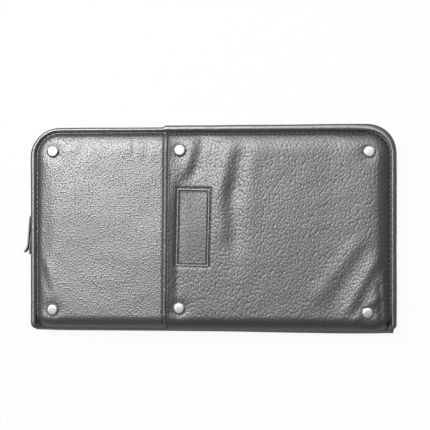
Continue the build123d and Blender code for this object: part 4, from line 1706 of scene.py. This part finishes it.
def world_light(scene):
    """Soft studio dome, white to the camera, brightest overhead towards the far edge and the left."""
    world = bpy.data.worlds.new("studio")
    scene.world = world
    world.use_nodes = True
    tree = world.node_tree
    back = tree.nodes["Background"]
    back.inputs["Color"].default_value = (1.0, 1.0, 1.0, 1.0)
    direction = tree.nodes.new("ShaderNodeTexCoord")
    facing = tree.nodes.new("ShaderNodeVectorMath")
    facing.operation = "DOT_PRODUCT"
    facing.inputs[1].default_value = LIGHT_WAY
    tree.links.new(direction.outputs["Generated"], facing.inputs[0])
    value = facing.outputs["Value"]
    for operation, number, more in (
            ("MAXIMUM", 0.0, 0.0), ("POWER", LIGHT_POWER, 0.0), ("MULTIPLY_ADD", LIGHT_PEAK, LIGHT_BASE)):
        node = tree.nodes.new("ShaderNodeMath")
        node.operation = operation
        node.inputs[1].default_value = number
        node.inputs[2].default_value = more
        tree.links.new(value, node.inputs[0])
        value = node.outputs[0]
    tree.links.new(value, back.inputs["Strength"])
    white = tree.nodes.new("ShaderNodeBackground")
    white.inputs["Strength"].default_value = 1.0
    path = tree.nodes.new("ShaderNodeLightPath")
    mix = tree.nodes.new("ShaderNodeMixShader")
    tree.links.new(path.outputs["Is Camera Ray"], mix.inputs["Fac"])
    tree.links.new(back.outputs["Background"], mix.inputs[1])
    tree.links.new(white.outputs["Background"], mix.inputs[2])
    tree.links.new(mix.outputs["Shader"], tree.nodes["World Output"].inputs["Surface"])


def lamp(name, place, size, power):
    """Square soft lamp that looks at the case."""
    data = bpy.data.lights.new(name, "AREA")
    data.shape = "SQUARE"
    data.size = size
    data.energy = power
    made = bpy.data.objects.new(name, data)
    bpy.context.scene.collection.objects.link(made)
    made.location = place
    made.rotation_euler = (-Vector(place)).to_track_quat("-Z", "Y").to_euler()


CAMERA_DISTANCE = 0.888
CAMERA_YAW = 4.5
CAMERA_AIM = Vector((0.0028, 0.0102, CASE_T))
CAMERA_LENS = 100.0


def camera(scene):
    """Camera straight above the case, a little to its right."""
    data = bpy.data.cameras.new("camera")
    data.lens = CAMERA_LENS
    data.sensor_width = 36.0
    made = bpy.data.objects.new("camera", data)
    scene.collection.objects.link(made)
    yaw = math.radians(CAMERA_YAW)
    made.location = CAMERA_AIM + Vector((math.sin(yaw), 0.0, math.cos(yaw))) * CAMERA_DISTANCE
    made.rotation_euler = (0.0, yaw, 0.0)
    scene.camera = made


OPERATORS = [
    SHEARS_OT_covers,
    SHEARS_OT_pocket,
    SHEARS_OT_label_patch,
    SHEARS_OT_piping,
    SHEARS_OT_side_walls,
    SHEARS_OT_zip,
    SHEARS_OT_pull_tab,
    SHEARS_OT_rivets,
    SHEARS_OT_spine,
    SHEARS_OT_linings,
    SHEARS_OT_tool_panel,
    SHEARS_OT_elastic_loops,
    SHEARS_OT_shear_channels,
    SHEARS_OT_stage,
]


class SHEARS_PT_panel(bpy.types.Panel):
    """Sidebar panel with the case's settings and its builders"""

    bl_idname = "SHEARS_PT_panel"
    bl_label = "Shears Case"
    bl_space_type = "VIEW_3D"
    bl_region_type = "UI"
    bl_category = "Shears Case"

    def draw(self, context):
        for settings in (sizes(), colours()):
            column = self.layout.column()
            for name in settings.bl_rna.properties.keys():
                if name not in ("rna_type", "name"):
                    column.prop(settings, name)
        for operator in OPERATORS:
            self.layout.operator(operator.bl_idname)


CLASSES = [ShearsCaseSizes, ShearsCaseColours, *OPERATORS, SHEARS_PT_panel]


def register():
    """Registers the classes and the settings they read."""
    for cls in CLASSES:
        bpy.utils.register_class(cls)
    bpy.types.Scene.shears_case_sizes = PointerProperty(type=ShearsCaseSizes)
    bpy.types.Scene.shears_case_colours = PointerProperty(type=ShearsCaseColours)


def unregister():
    """Takes the classes and settings away again."""
    del bpy.types.Scene.shears_case_colours
    del bpy.types.Scene.shears_case_sizes
    for cls in reversed(CLASSES):
        bpy.utils.unregister_class(cls)


def main():
    """Builds every piece in order."""
    register()
    case = bpy.ops.shears_case
    for build in (
            case.covers, case.pocket, case.label_patch, case.piping, case.side_walls, case.zip,
            case.pull_tab, case.rivets, case.spine, case.linings, case.tool_panel, case.elastic_loops,
            case.shear_channels, case.stage):
        build()


if __name__ == "__main__":
    main()
